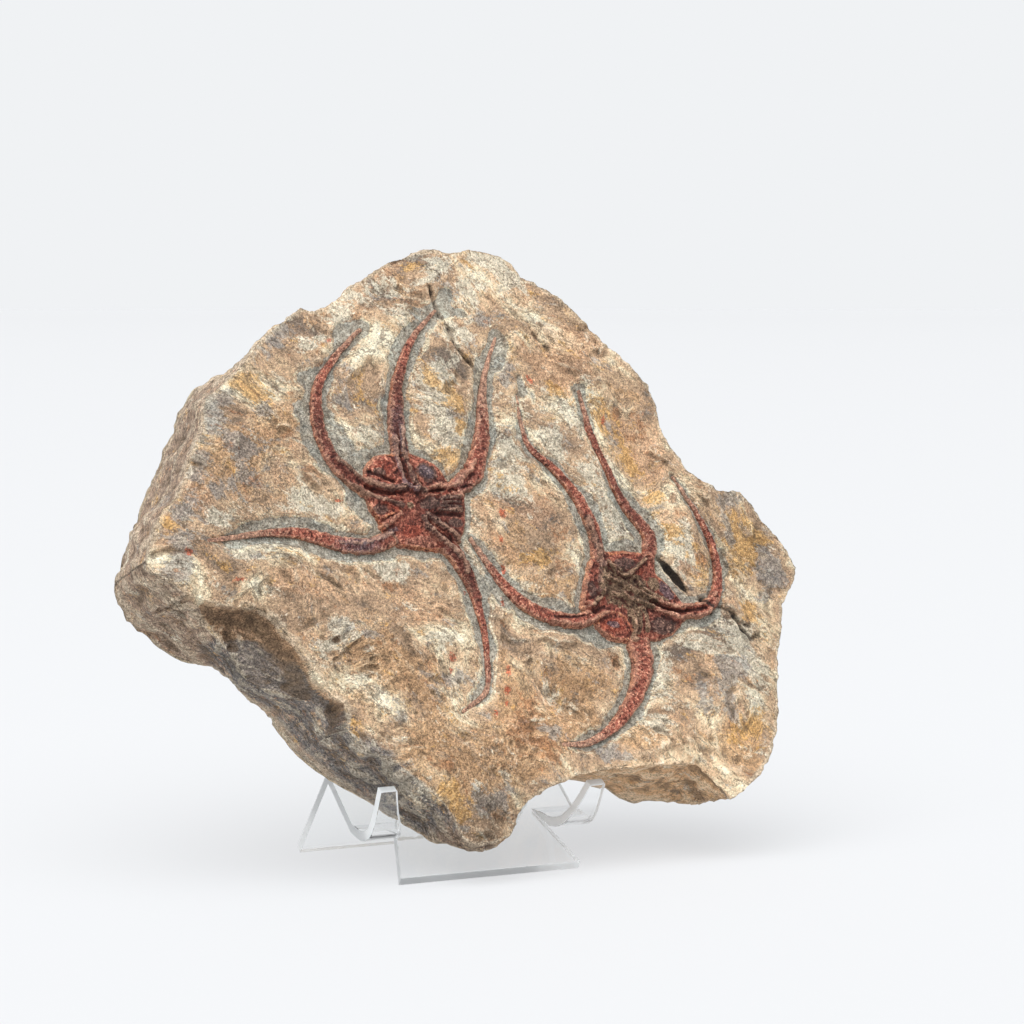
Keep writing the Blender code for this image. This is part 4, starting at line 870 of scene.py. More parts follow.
def discSurface(star):
    # Rings from the star's middle to its outline: base + dome + detail, with the edge sunk and
    # a flat underside.
    around, rings = fossil["spokes"], fossil["rings"]
    turn = np.arange(around) * 2 * math.pi / around
    outline = smoothPath(star["disc"], 0.5, closed=True)[:, :2] - star["centre"]
    bearing = np.unwrap(np.arctan2(outline[:, 1], outline[:, 0]))
    if bearing[-1] < bearing[0]:
        bearing, outline = bearing[::-1], outline[::-1]
    reach = np.interp(turn, bearing, np.hypot(*outline.T), period=2 * math.pi)
    circle = np.column_stack([10 * np.cos(turn), 10 * np.sin(turn), 0 * turn + star["dome"] * 40])
    reach = reach + 0.35 * roughNoise(circle, 2.4, 124, 3, 0.6)
    share = np.linspace(0, 1, rings + 1)[1:] ** 0.9
    radius = share[:, None] * (reach + 0.9)
    u = np.concatenate([[star["centre"][0]], (star["centre"][0] + radius * np.cos(turn)).ravel()])
    v = np.concatenate([[star["centre"][1]], (star["centre"][1] + radius * np.sin(turn)).ravel()])
    beyond = np.concatenate([[-9], (radius - reach).ravel()])
    place = np.column_stack([u, v, 0 * u])
    lift, looks = starDetail(u, v, star)
    w = baseHeight(u, v) + domeHeight(u, v, star) + lift
    w += fossil["discGrit"] * roughNoise(place, 2.2, 91, 4, 0.75)
    w += 0.3 * looks["brown"] * roughNoise(place, 3, 95, 3)
    w -= 1.6 * rise(beyond, -0.5, 0.9)
    edge = len(u) - around + np.arange(around)
    rim = np.column_stack([u[edge], v[edge], baseHeight(u[edge], v[edge]) - 2.0])
    points = np.concatenate([np.column_stack([u, v, w]), rim, rim.mean(axis=0)[None]])
    faces = []
    for k in range(rings):
        now = 1 + k * around + np.arange(around)
        ahead = np.roll(now, -1)
        if k == 0:
            faces.append(np.column_stack([0 * now, now, ahead]))
        else:
            faces.append(np.column_stack([now - around, now, ahead]))
            faces.append(np.column_stack([now - around, ahead, ahead - around]))
    low = len(u) + np.arange(around)
    faces.append(np.column_stack([edge, low, np.roll(low, -1)]))
    faces.append(np.column_stack([edge, np.roll(low, -1), np.roll(edge, -1)]))
    faces.append(np.column_stack([low, 0 * low + len(u) + around, np.roll(low, -1)]))
    looks["maroon"] = np.minimum(ovals(u, v, star["tones"]), 1)
    looks["rim"] = np.maximum(looks["rim"], rise(beyond, -1.1, 0.2))
    measures = {**looks, "fade": 0 * u}
    rest = np.zeros(around + 1)
    measures = {label: np.concatenate([values, rest]) for label, values in measures.items()}
    measures["grain"] = np.concatenate([place, np.zeros((around + 1, 3))])
    return points, np.concatenate(faces), measures


def armSurface(star, arm, number):
    # A profile carried along the arm: w = base + H sqrt(1 - |t|^2.6), lower towards the disc's
    # middle where the plates cover it, with the detail on top and closed underneath.
    path = smoothPath(arm["path"], fossil["armStep"])
    along = np.concatenate([[0], np.cumsum(np.hypot(*np.diff(path[:, :2], axis=0).T))])
    share = along / along[-1]
    side = np.gradient(path[:, :2], axis=0)
    side = np.column_stack([-side[:, 1], side[:, 0]])
    side /= np.hypot(*side.T)[:, None]
    t = np.sin(np.linspace(-1, 1, fossil["armColumns"]) * math.pi / 2) * 1.1
    row = np.column_stack([along, np.full(len(along), number * 40.0), 0 * along])
    ragged = [fossil["ragged"] * roughNoise(row + (0, 0, k * 30), 2.2, 101, 3, 0.75) for k in (0, 1)]
    ragged = [path[:, 2] / 2 * (1 + uneven) for uneven in ragged]
    half = np.where(t < 0, ragged[0][:, None], ragged[1][:, None])
    shift = 0.2 * roughNoise(row, 6, 104, 3)[:, None]
    centre = path[:, :2] + side * shift
    place = centre[:, None] + side[:, None] * (half * t)[..., None]
    u, v = place[..., 0].ravel(), place[..., 1].ravel()
    grain = np.column_stack([u, v, np.full(len(u), number * 9.0)])
    ground = baseHeight(u, v)
    inside = discInside(u, v, star)
    high = fossil["armSlope"] * path[:, 2] + fossil["armHeight"]
    high *= 1 + 0.5 * (1 - rise(share, 0.15, 0.5))
    profile = np.sqrt(np.maximum(1 - np.abs(t) ** 2.6, 0))
    joints = np.cos(2 * math.pi * (along[:, None] / fossil["jointSpacing"] + 0.4 * np.abs(t)))
    section = high[:, None] * profile * (1 + 0.02 * joints)
    lift, looks = starDetail(u, v, star)
    w = ground + section.ravel() + lift * rise(np.tile(1 - np.abs(t), len(along)), 0, 0.5)
    w += fossil["armGrit"] * roughNoise(grain, 1.6, 111, 4, 0.82)
    w += domeHeight(u, v, star) * 0.5 * rise(-inside, -2, 0) - 1.8 * rise(inside, 0.2, 2.4)
    w -= np.tile(1.6 * rise(np.abs(t), 0.92, 1.1), len(along))
    w -= np.repeat(0.5 * rise(share, arm["fade"] - 0.25, 1), len(t))
    columns = len(t)
    points = np.column_stack([u, v, w]).reshape(len(along), columns, 3)
    under = points[:, [-1, 0]].copy()
    deep = ground.reshape(len(along), -1)[:, [-1, 0]] - 2.1
    under[..., 2] = np.minimum(deep, under[..., 2] - 0.1)
    points = np.concatenate([points, under], axis=1)
    width = columns + 2
    i, j = np.meshgrid(np.arange(len(along) - 1), np.arange(width), indexing="ij")
    a = (i * width + j).ravel()
    b = (i * width + (j + 1) % width).ravel()
    faces = [np.column_stack([a, a + width, b + width]), np.column_stack([a, b + width, b])]
    points = points.reshape(-1, 3)
    last = (len(along) - 1) * width
    ends = np.array([points[:width].mean(axis=0), points[last:].mean(axis=0)])
    ring = np.arange(width)
    ahead = np.roll(ring, -1)
    faces.append(np.column_stack([0 * ring + len(points), ring, ahead]))
    faces.append(np.column_stack([0 * ring + len(points) + 1, last + ahead, last + ring]))

    def spread(values):
        whole = np.broadcast_to(values, (len(along), columns))
        whole = np.concatenate([whole, np.zeros((len(along), 2))], axis=1)
        return np.concatenate([whole.ravel(), [0, 0]])

    looks = {look: values.reshape(len(along), columns) for look, values in looks.items()}
    core = rise(1.15 - np.abs(t), 0, 0.5)
    looks["maroon"] = (1.5 * np.interp(share, *np.array(arm["dusk"]).T))[:, None] * core
    violet = np.interp(share, *np.array(arm["violet"]).T)[:, None]
    looks["violet"] = np.maximum(looks["violet"], violet)
    rim = 0.9 * rise(np.abs(t), 0.6, 0.95) * (1 - rise(share, 0.6, 0.9))[:, None]
    looks["rim"] = np.maximum(looks["rim"], rim)
    fade = 0.7 * rise(share, arm["fade"] - 0.4, min(arm["fade"] + 0.1, 1.02))[:, None]
    measures = {look: spread(values) for look, values in looks.items()}
    measures["fade"] = spread(fade)
    measures["grain"] = np.column_stack([spread(along[:, None]), spread(half * t),
                                         spread(20.0 * number)])
    return np.concatenate([points, ends]), np.concatenate(faces), measures


def makeStar(name, star, material, node):
    # The disc and its arms in one mesh, each closed in itself.
    parts = [discSurface(star)]
    for number, arm in enumerate(star["arms"]):
        parts.append(armSurface(star, arm, number + 1))
    total = 0
    faces = []
    for points, some, measures in parts:
        if np.sum(vertexNormals(points, some)[:, 2]) < 0:
            some = some[:, ::-1]
        faces.append(some + total)
        total += len(points)
    place = np.concatenate([points for points, some, measures in parts])
    faces = np.concatenate(faces)
    measures = {label: np.concatenate([part[2][label] for part in parts]) for label in parts[0][2]}
    # How far each point lies in a hollow (+) or on a bump (-), which the calcite's colour turns into
    # painted shade and painted highlights.
    measures["cavity"] = hollows(place, faces, vertexNormals(place, faces), 14)
    # Distance to the two cracks that cross the right star's arm, which the calcite's colour fills with
    # painted shade.
    crack = np.minimum(*[lineDistance(place[:, 0], place[:, 1], line)[0] - 0.3
                         for width, depth, line in relief["cracks"][1:3]])
    measures["crack"] = crack
    piece = makePiece(name, standUp(place), faces, measures, [node])
    piece.data.materials.append(material)
    print(name, len(place), "points", len(faces), "triangles")


# The clear stand, in mm: depths run forward from the back foot, heights up from the floor.
stand = {
    "back": 35.4,                # y of the back foot
    "centre": -4.9,              # x of its middle
    "width": 76.0,
    "thickness": 3.0,
    "foldDepth": 25.8,
    "foldHeight": 27.9,
    "foldRadius": 2.4,
    "foldSteps": 16,
    "frontFootDepth": 66.2,
    "rootDepth": 44.5,           # where the prongs leave the panel
    "tongueTop": 47.4,
    "tongueFoot": 62.4,
    "leftProng": [(48.5, 14.2, 12.6), (52.5, 13.8, 11.6), (57, 15.0, 10.6), (60.5, 18.4, 9.2),
                  (63.3, 23.5, 7.2), (66.5, 30.2, 5.4)],
    "rightProng": [(48.5, 14.0, 12.6), (52.5, 13.2, 11.6), (57, 14.2, 10.6), (60.5, 17.2, 9.2),
                   (63.3, 21.7, 7.2), (66.2, 27.2, 5.4)],
    "edge": 0.25,
    "softestCorner": math.radians(50),
}


def standRows():
    # Depth and height of the sheet's middle from the back foot over the round fold to the root,
    # and the front foot; each foot's square end stands on its lower corner.
    climb = math.atan2(stand["foldHeight"], stand["foldDepth"])
    run = stand["frontFootDepth"] - stand["foldDepth"]
    fall = math.atan2(stand["foldHeight"], run)
    reach = stand["foldRadius"] * math.tan((climb + fall) / 2)
    lift = [stand["thickness"] / 2 * math.cos(slope) for slope in (climb, fall)]
    rows = [(lift[0] / math.tan(climb), lift[0])]
    start = np.array([stand["foldDepth"] - reach * math.cos(climb),
                      stand["foldHeight"] - reach * math.sin(climb)])
    centre = start + stand["foldRadius"] * np.array([math.sin(climb), -math.cos(climb)])
    for step in range(stand["foldSteps"] + 1):
        turn = climb - (climb + fall) * step / stand["foldSteps"]
        rows.append(tuple(centre + stand["foldRadius"] * np.array([-math.sin(turn), math.cos(turn)])))
    slope = stand["foldHeight"] / run
    rows.append((stand["rootDepth"], (stand["frontFootDepth"] - stand["rootDepth"]) * slope))
    foot = (stand["frontFootDepth"] - lift[1] / slope, lift[1])
    return rows, foot


def makeStand(sheetMaterial, edgeMaterial):
    # A bent sheet: rows over the fold, a tongue to the front foot and a curved prong each side.
    rows, foot = standRows()
    half = stand["width"] / 2
    top = stand["tongueTop"] / 2
    work = bmesh.new()

    def vertex(x, depth, height):
        return work.verts.new(((stand["centre"] + x) * mm, (stand["back"] - depth) * mm, height * mm))

    grid = [[vertex(x, *row) for x in (-half, -top, top, half)] for row in rows]
    for lower, upper in zip(grid[:-1], grid[1:]):
        for k in range(3):
            work.faces.new((lower[k], lower[k + 1], upper[k + 1], upper[k]))
    root = grid[-1]
    slopeOut = (stand["tongueFoot"] / 2 - top) / (stand["frontFootDepth"] - stand["rootDepth"])
    footHalf = top + slopeOut * (foot[0] - stand["rootDepth"])
    tongue = [vertex(-footHalf, *foot), vertex(footHalf, *foot)]
    work.faces.new((root[1], root[2], tongue[1], tongue[0]))
    for side, label, outer, inner in ((-1, "leftProng", root[0], root[1]),
                                      (1, "rightProng", root[3], root[2])):
        start = (rows[-1][0], rows[-1][1], half - top)
        path = smoothPath([start] + stand[label], 0.7)
        before = (outer, inner)
        for depth, height, width in path[1:]:
            now = (vertex(side * half, depth, height), vertex(side * (half - width), depth, height))
            work.faces.new((before[0], before[1], now[1], now[0]))
            before = now
    bmesh.ops.recalc_face_normals(work, faces=work.faces)
    mesh = bpy.data.meshes.new("display_stand_sheet")
    work.to_mesh(mesh)
    work.free()
    sheet = bpy.data.objects.new("display_stand_sheet", mesh)
    bpy.context.scene.collection.objects.link(sheet)
    mesh.materials.append(sheetMaterial)
    mesh.materials.append(edgeMaterial)
    thicken = sheet.modifiers.new("sheet", "SOLIDIFY")
    thicken.thickness = stand["thickness"] * mm
    thicken.offset = 0
    thicken.use_even_offset = True
    thicken.material_offset_rim = 1
    bpy.context.view_layer.update()
    whole = bpy.data.meshes.new_from_object(sheet.evaluated_get(bpy.context.evaluated_depsgraph_get()))
    sheet.modifiers.clear()
    whole.name = "display_stand_sheet"
    sheet.data = whole
    bpy.data.meshes.remove(mesh)
    whole.shade_flat()
    soften = sheet.modifiers.new("edge", "BEVEL")
    soften.width = stand["edge"] * mm
    soften.segments = 2
    soften.limit_method = "ANGLE"
    soften.angle_limit = stand["softestCorner"]
    sheet.visible_shadow = False         # clear sheet lets the light through
    sheet.visible_diffuse = False
    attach(sheet, "root")
    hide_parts("display_stand")
    print("stand", len(whole.polygons), "faces")


def linear(code, alpha=1.0):
    # sRGB hex to linear: c / 12.92 below 0.04045, else ((c + 0.055) / 1.055)^2.4.
    values = [int(code[k:k + 2], 16) / 255 for k in (1, 3, 5)]
    return (*[c / 12.92 if c <= 0.04045 else ((c + 0.055) / 1.055) ** 2.4 for c in values], alpha)


def addNode(tree, kind, inputs=None, **settings):
    # A node with its settings; each input gets its value, or a link from a node or a socket.
    node = tree.nodes.new(kind)
    for name, value in settings.items():
        setattr(node, name, value)
    for socket, value in (inputs or {}).items():
        if isinstance(value, bpy.types.Node):
            value = next(output for output in value.outputs if output.enabled)
        if isinstance(value, bpy.types.NodeSocket):
            tree.links.new(value, node.inputs[socket])
        else:
            node.inputs[socket].default_value = value
    return node


def newTree(name):
    # A material with its node tree and its shader.
    material = bpy.data.materials.new(name)
    material.use_nodes = True
    tree = material.node_tree
    shader = tree.nodes["Principled BSDF"]
    return material, tree, shader


def slabPlace(tree):
    # Object coordinates turned into the slab's own u, v, w in mm.
    coordinates = addNode(tree, "ShaderNodeTexCoord").outputs["Object"]
    turn = (math.radians(90) - slab["lean"], 0, 0)
    inputs = {"Vector": coordinates, "Location": tuple(slab["foot"] * mm), "Rotation": turn,
              "Scale": (mm, mm, mm)}
    return addNode(tree, "ShaderNodeMapping", inputs, vector_type="TEXTURE").outputs["Vector"]


def mineral(recipe):
    # Noises and attributes are signals; a layer's share is its weighted sum of signals ranged from
    # 0 to its most, and it lays its own ramp of colours over what is there.
    material, tree, shader = newTree(recipe["name"])
    vectors = {"place": slabPlace(tree)}
    vectors["flow"] = addNode(tree, "ShaderNodeAttribute", attribute_name="grain").outputs["Vector"]
    signals = {}
    for label in recipe["reads"]:
        signals[label] = addNode(tree, "ShaderNodeAttribute", attribute_name=label).outputs["Fac"]
    for label, follows, stretch, scale, detail, rough, seed in recipe["grains"]:
        drawn = addNode(tree, "ShaderNodeMapping", {"Vector": vectors[follows], "Scale": stretch,
                                                    "Location": (31.0 * seed, 17.0 * seed, 7.0 * seed)})
        signals[label] = addNode(tree, "ShaderNodeTexNoise",
                                 {"Vector": drawn, "Scale": scale, "Detail": detail,
                                  "Roughness": rough}).outputs["Fac"]
    for label, follows, stretch, scale, bend in recipe["cells"]:
        drawn = addNode(tree, "ShaderNodeMapping", {"Vector": vectors[follows], "Scale": stretch})
        wander = addNode(tree, "ShaderNodeTexNoise",
                         {"Vector": drawn, "Scale": 1.5 * scale, "Detail": 2})
        moved = addNode(tree, "ShaderNodeVectorMath", {0: wander.outputs["Color"], 1: (bend,) * 3,
                                                       2: drawn}, operation="MULTIPLY_ADD")
        cell = addNode(tree, "ShaderNodeTexVoronoi", {"Vector": moved, "Scale": scale})
        signals[label] = cell.outputs["Color"]
    if "seam" in recipe:
        middle = addNode(tree, "ShaderNodeMath", {0: signals[recipe["seam"]], 1: 0.5},
                         operation="SUBTRACT")
        signals["seamEdge"] = addNode(tree, "ShaderNodeMath", {0: middle}, operation="ABSOLUTE")
    if "ledge" in recipe:
        source, step = recipe["ledge"]
        signals["steps"] = addNode(tree, "ShaderNodeMath", {0: signals[source], 1: step},
                                   operation="SNAP")

    jobs = [(label, weights, low, high, 0, 1) for label, weights, low, high in recipe["sums"]]
    jobs += [(str(k), weights, low, high, 0, most)
             for k, (weights, low, high, most, tone, stops) in enumerate(recipe["layers"])]
    jobs.append(("shade", *recipe["shade"]))
    jobs.append(("height", recipe["bump"], 0, 30, 0, 30))
    for label, weights, low, high, first, last in jobs:
        total = 0.0
        for signal, weight in weights.items():
            total = addNode(tree, "ShaderNodeMath", {0: signals[signal], 1: weight, 2: total},
                            operation="MULTIPLY_ADD")
        signals[label] = addNode(tree, "ShaderNodeMapRange",
                                 {"Value": total, "From Min": low, "From Max": high,
                                  "To Min": first, "To Max": last})
    colour = None
    ramps = [(None, recipe["bodyTone"], recipe["body"])]
    ramps += [(str(k), *layer[4:]) for k, layer in enumerate(recipe["layers"])]
    for share, tone, stops in ramps:
        ramp = addNode(tree, "ShaderNodeValToRGB", {0: signals[tone]})
        for at, code in stops[1:-1]:
            ramp.color_ramp.elements.new(at)
        for element, (at, code) in zip(ramp.color_ramp.elements, stops):
            element.position = at
            element.color = linear(code)
        if share is None:
            colour = ramp
        else:
            colour = addNode(tree, "ShaderNodeMix", {0: signals[share], 6: colour, 7: ramp},
                             data_type="RGBA")
    grey = addNode(tree, "ShaderNodeCombineColor", {k: signals["shade"] for k in range(3)})
    colour = addNode(tree, "ShaderNodeMix", {0: 1.0, 6: colour, 7: grey}, data_type="RGBA",
                     blend_type="MULTIPLY")
    tree.links.new(colour.outputs[2], shader.inputs["Base Color"])
    bump = addNode(tree, "ShaderNodeBump", {"Distance": recipe["bumpHeight"] * mm,
                                            "Height": signals["height"]})
    tree.links.new(bump.outputs[0], shader.inputs["Normal"])
    shader.inputs["Roughness"].default_value = recipe["roughness"]
    shader.inputs["IOR"].default_value = recipe["ior"]
    shader.inputs["Specular IOR Level"].default_value = recipe["gloss"]
    print(recipe["name"], len(tree.nodes), "nodes")
    return material


# How each stain shows: its drift's scale per mm and seed, where it starts and is full, the most it
# covers, and its dark and pale tones.
stainLooks = [
    ("sand", 0.1, 10.0, 0.75, 0.81, 0.64, "#a27a52", "#d4a97c"),
    ("pink", 0.1, 14.0, 0.75, 0.82, 0.5, "#b4825e", "#e3b992"),
    ("cream", 0.17, 11.0, 0.75, 0.81, 0.74, "#b9b098", "#e8e0cc"),
    ("ochre", 0.22, 12.0, 0.76, 0.81, 0.74, "#b17f42", "#dcb06c"),
    ("slate", 0.2, 13.0, 0.76, 0.81, 0.68, "#696869", "#a9a59d"),
    ("rust", 0.34, 15.0, 0.76, 0.82, 0.65, "#7a4d31", "#b57c52"),
]

# Weathered sandy limestone, split along its beds and broken at the sides, which gives a dull
# grainy face: a body that drifts between tan and cream, mineral stains, a grey skin round the
# fossils, dark seams and pin holes, and rougher sides. Its real grains are too fine to show, so
# dust and grit are drawn 0.3 to 0.4 mm across, as coarse as they need to be to show.
# Painted shade darkens its hollows, cracks, the crevice beside the fossils and the band under the scoop's
# lip, and painted highlights lighten its bumps.
limestone = {
    "name": "weathered_limestone",
    "reads": ["gap", "halo", "edge", "crack", "pitted", "side", "scoop", "darkSide", "brownSide",
              "cavity", "light", *stains],
    # Noises: name, what they follow, stretch, scale per mm, detail, roughness, seed.
    "grains": [
        ("broad", "flow", (0.6, 1, 1), 0.07, 4, 0.6, 0.0),
        ("patch", "flow", (0.6, 1, 0.6), 0.2, 4, 0.7, 1.0),
        ("clump", "flow", (0.7, 1, 1), 0.5, 3, 0.7, 2.0),
        ("speck", "place", (1, 1, 1), 1.2, 2, 0.85, 3.0),
        ("dust", "place", (1, 1, 1), 3.1, 1, 0.8, 4.0),
        ("ledge", "flow", (0.8, 1.1, 0.6), 0.15, 4, 0.6, 5.0),
        ("seam", "flow", (0.6, 1, 1), 0.16, 5, 0.66, 6.0),
        ("spots", "place", (1, 1, 1), 0.75, 3, 0.7, 7.0),
        ("beds", "flow", (0.16, 1, 0.1), 0.6, 4, 0.7, 8.0),
        ("fine", "flow", (0.3, 1, 0.16), 1.5, 3, 0.8, 9.0),
        *[(stain + "Drift", "flow", (0.6, 1, 1), scale, 5, 0.7, seed)
          for stain, scale, seed, *rest in stainLooks],
    ],
    "sums": [                    # name, what is added up, lowest, highest
        ("tone", {"broad": 0.75, "patch": 0.15, "speck": 0.1}, 0.38, 0.62),
        ("mottle", {"clump": 0.35, "speck": 0.4, "crumb": 0.15, "grit": 0.1}, 0.34, 0.66),
        ("streak", {"beds": 0.25, "fine": 0.35, "speck": 0.25, "dust": 0.15}, 0.38, 0.62),
    ],
    "bodyTone": "tone",
    "body": [(0.0, "#7d6d5f"), (0.22, "#a1866c"), (0.42, "#bf9f80"), (0.62, "#cdaf8d"), (0.8, "#ddcaa9"),
             (1.0, "#ece1c6")],
    # Crystals, each with a value of its own: name, what they follow, stretch, number a mm, bend.
    "cells": [("crumb", "flow", (0.8, 1, 1), 1.0, 1.2), ("grit", "place", (1, 1, 1), 2.6, 0.5)],
    # Layers: what is added up, where it starts and is full, how much, which sum picks the colour.
    "layers": [
        ({"side": 1, "patch": 0.4, "speck": 0.3}, 0.65, 0.9, 1.0, "streak",
         [(0.0, "#5e5249"), (0.35, "#9a8270"), (0.65, "#bca38c"), (1.0, "#dcc6ab")]),
        ({"side": 1, "darkSide": 2, "patch": 1.2, "speck": 0.8}, 2.9, 3.3, 1.0, "streak",
         [(0.0, "#34312f"), (0.4, "#6c6764"), (0.7, "#988e86"), (1.0, "#c0af9b")]),
        ({"side": 1, "brownSide": 2, "patch": 1.2, "speck": 0.8}, 2.9, 3.3, 1.0, "streak",
         [(0.0, "#94704f"), (0.5, "#cba37b"), (1.0, "#e6c7a0")]),
        *[({stain + "Drift": 1, stain: 0.22, "speck": 0.3}, first, full, most, "mottle",
           [(0, dark), (1, pale)]) for stain, scale, seed, first, full, most, dark, pale in stainLooks],
        ({"edge": 1, "patch": 3.0, "speck": 0.6}, 2.35, 2.7, 0.75, "mottle",
         [(0, "#c4b592"), (1, "#efe6cc")]),
        ({"halo": -1, "patch": 3.0, "speck": 0.8}, 2.0, 2.3, 0.75, "mottle",
         [(0, "#70736b"), (1, "#b9bbb0")]),
        # Painted shade in the crevice right beside the fossils.
        ({"gap": -1, "speck": 1.5, "broad": 5.0}, 2.9, 3.6, 0.6, "mottle",
         [(0, "#4d4638"), (1, "#8b7a62")]),
        ({"red": 1, "speck": 2.0}, 1.45, 1.65, 0.85, "mottle", [(0, "#8f3722"), (1, "#cf6a47")]),
        ({"side": 1, "beds": 2.0, "fine": 3.0, "speck": 0.8}, 4.3, 4.6, 0.7, "mottle",
         [(0, "#8a5730"), (1, "#cf9a68")]),
        ({"scoop": 1, "patch": 0.5, "speck": 0.3}, 0.7, 0.9, 0.85, "mottle",
         [(0.0, "#5e4634"), (0.5, "#967558"), (1.0, "#c39e7a")]),
        # Painted shadow in a band just under the scoop's lip.
        ({"scoop": 1, "patch": 1.6, "speck": 0.6}, 2.4, 2.9, 0.5, "mottle",
         [(0.0, "#2f2218"), (0.5, "#5d4532"), (1.0, "#8f6f52")]),
        ({"scoop": 1, "darkSide": 2.2, "patch": 1.0}, 3.2, 3.4, 0.9, "streak",
         [(0.0, "#302e2e"), (0.5, "#67625e"), (1.0, "#9c9186")]),
        ({"side": 1}, 1.4, 1.6, 1.0, "tone", [(0, "#a28a72"), (0.5, "#c8ab8c"), (1, "#e0cdac")]),
        # Painted shade in the hollows, then painted highlights on the bumps.
        ({"cavity": 1, "speck": 0.3}, 0.24, 0.5, 0.6, "mottle", [(0, "#4a3d31"), (1, "#806951")]),
        ({"cavity": -1, "speck": 0.3}, 0.25, 0.5, 0.35, "mottle", [(0, "#cdb795"), (1, "#f4ead2")]),
        ({"seamEdge": -1, "broad": 0.10}, 0.036, 0.044, 0.6, "mottle", [(0, "#463a2e"), (1, "#7b6650")]),
        ({"spots": 1, "pitted": 0.1}, 0.70, 0.73, 0.75, "mottle", [(0, "#4a3523"), (1, "#7a5a3e")]),
        ({"dust": 1}, 0.66, 0.72, 0.6, "mottle", [(0, "#4b3d30"), (1, "#75604b")]),
        # Painted shade, near black, inside the cracks and slits.
        ({"crack": -1, "dust": 0.8}, 0.25, 0.6, 0.95, "mottle", [(0, "#0a0706"), (1, "#251b15")]),
    ],
    "seam": "seam",
    "shade": ({"speck": 0.25, "dust": 0.4, "crumb": 0.1, "grit": 0.36, "broad": 0.2, "light": 0.17},
              0.48, 0.83, 0.46, 1.42),
    "ledge": ("ledge", 0.03),
    "bump": {"clump": 0.5, "speck": 0.8, "dust": 0.45, "patch": 1.0, "steps": 3.0, "seamEdge": 2.0,
             "crumb": 0.08, "grit": 0.15},
    "bumpHeight": 1.0,           # mm
    "roughness": 0.84,
    "ior": 1.5,
    "gloss": 0.35,               # below 0.5, so its sheen is weaker than the ior alone would give
}


# Calcite stained red by iron, with the rock taken off it, which gives a finely grained dull sheen:
# dusky maroon ridges, orange where it is thin at the edges, purple plates, and the brown rock that
# still clings to the right disc. Its dust and grit are drawn as coarse as the limestone's.
# Painted shade darkens its grooves, pits, hollows and cracks, and painted highlights lighten its ridges and
# bumps.
ironCalcite = {
    "name": "iron_red_calcite",
    "reads": [*fossil["looks"], "maroon", "fade", "crack", "cavity"],
    "grains": [
        ("patch", "place", (1, 1, 1), 0.35, 4, 0.65, 1.0),
        ("clump", "flow", (1.3, 0.7, 1), 0.7, 4, 0.7, 2.0),
        ("speck", "place", (1, 1, 1), 1.2, 2, 0.85, 3.0),
        ("dust", "place", (1, 1, 1), 3.1, 1, 0.8, 4.0),
    ],
    "cells": [("crumb", "flow", (1.3, 0.8, 1), 1.2, 1.0), ("grit", "place", (1, 1, 1), 2.6, 0.5)],
    "sums": [
        ("mottle", {"patch": 0.2, "clump": 0.25, "speck": 0.35, "crumb": 0.1, "grit": 0.1}, 0.35, 0.65),
    ],
    "bodyTone": "mottle",
    "body": [(0.0, "#381a14"), (0.3, "#70382b"), (0.5, "#985141"), (0.7, "#b46f58"), (1.0, "#dba98c")],
    "layers": [
        ({"maroon": 1, "clump": 0.8, "speck": 0.4}, 0.9, 1.5, 0.85, "mottle",
         [(0, "#2e1612"), (0.5, "#63342a"), (1, "#966051")]),
        ({"pink": 1, "clump": 0.8, "speck": 0.4}, 1.0, 1.4, 0.7, "mottle",
         [(0, "#5d342a"), (0.5, "#9a6351"), (1, "#d09f85")]),
        ({"bright": 1, "clump": 0.8, "speck": 0.4}, 1.0, 1.4, 0.85, "mottle",
         [(0, "#511d15"), (0.5, "#883b2b"), (1, "#ba694f")]),
        ({"dusk": 1, "clump": 0.8, "speck": 0.4}, 1.0, 1.4, 0.85, "mottle",
         [(0, "#231918"), (0.5, "#544039"), (1, "#8f7466")]),
        ({"violet": 1, "clump": 0.8, "speck": 0.4}, 1.0, 1.4, 0.8, "mottle",
         [(0, "#28212a"), (0.5, "#57494f"), (1, "#8e8183")]),
        ({"rim": 1, "patch": 1.5, "speck": 0.8}, 1.95, 2.25, 0.7, "mottle",
         [(0, "#84452b"), (1, "#cf8857")]),
        ({"brown": 1, "clump": 0.6, "speck": 0.4}, 0.85, 1.2, 0.95, "mottle",
         [(0, "#382a1f"), (0.5, "#6f5843"), (1, "#ab9175")]),
        # Painted shade in the grooves and pits.
        ({"dark": 1, "speck": 0.6}, 0.75, 1.15, 0.85, "mottle", [(0, "#1e110d"), (1, "#5c3126")]),
        ({"fade": 1, "clump": 0.8, "speck": 0.8}, 1.1, 1.4, 0.8, "mottle",
         [(0, "#8d6b58"), (1, "#cfa88d")]),
        # Painted shade in the hollows, then painted highlights on the ridges and bumps.
        ({"cavity": 1, "speck": 0.2}, 0.15, 0.34, 0.9, "mottle", [(0, "#180b09"), (1, "#58261d")]),
        ({"cavity": -1, "speck": 0.8, "dust": 0.4}, 0.78, 1.0, 0.45, "mottle",
         [(0, "#a4705a"), (1, "#e2b798")]),
        # Painted shade inside those cracks.
        ({"crack": -1}, -0.5, 0.0, 0.9, "mottle", [(0, "#1d1411"), (1, "#3f2c24")]),
    ],
    "shade": ({"patch": 0.2, "speck": 0.27, "dust": 0.33, "crumb": 0.1, "grit": 0.25},
              0.41, 0.74, 0.40, 1.52),
    "bump": {"clump": 1.2, "speck": 0.9, "dust": 0.55, "crumb": 0.2, "grit": 0.15},
    "bumpHeight": 0.9,
    "roughness": 0.7,
    "ior": 1.55,
    "gloss": 0.3,
}


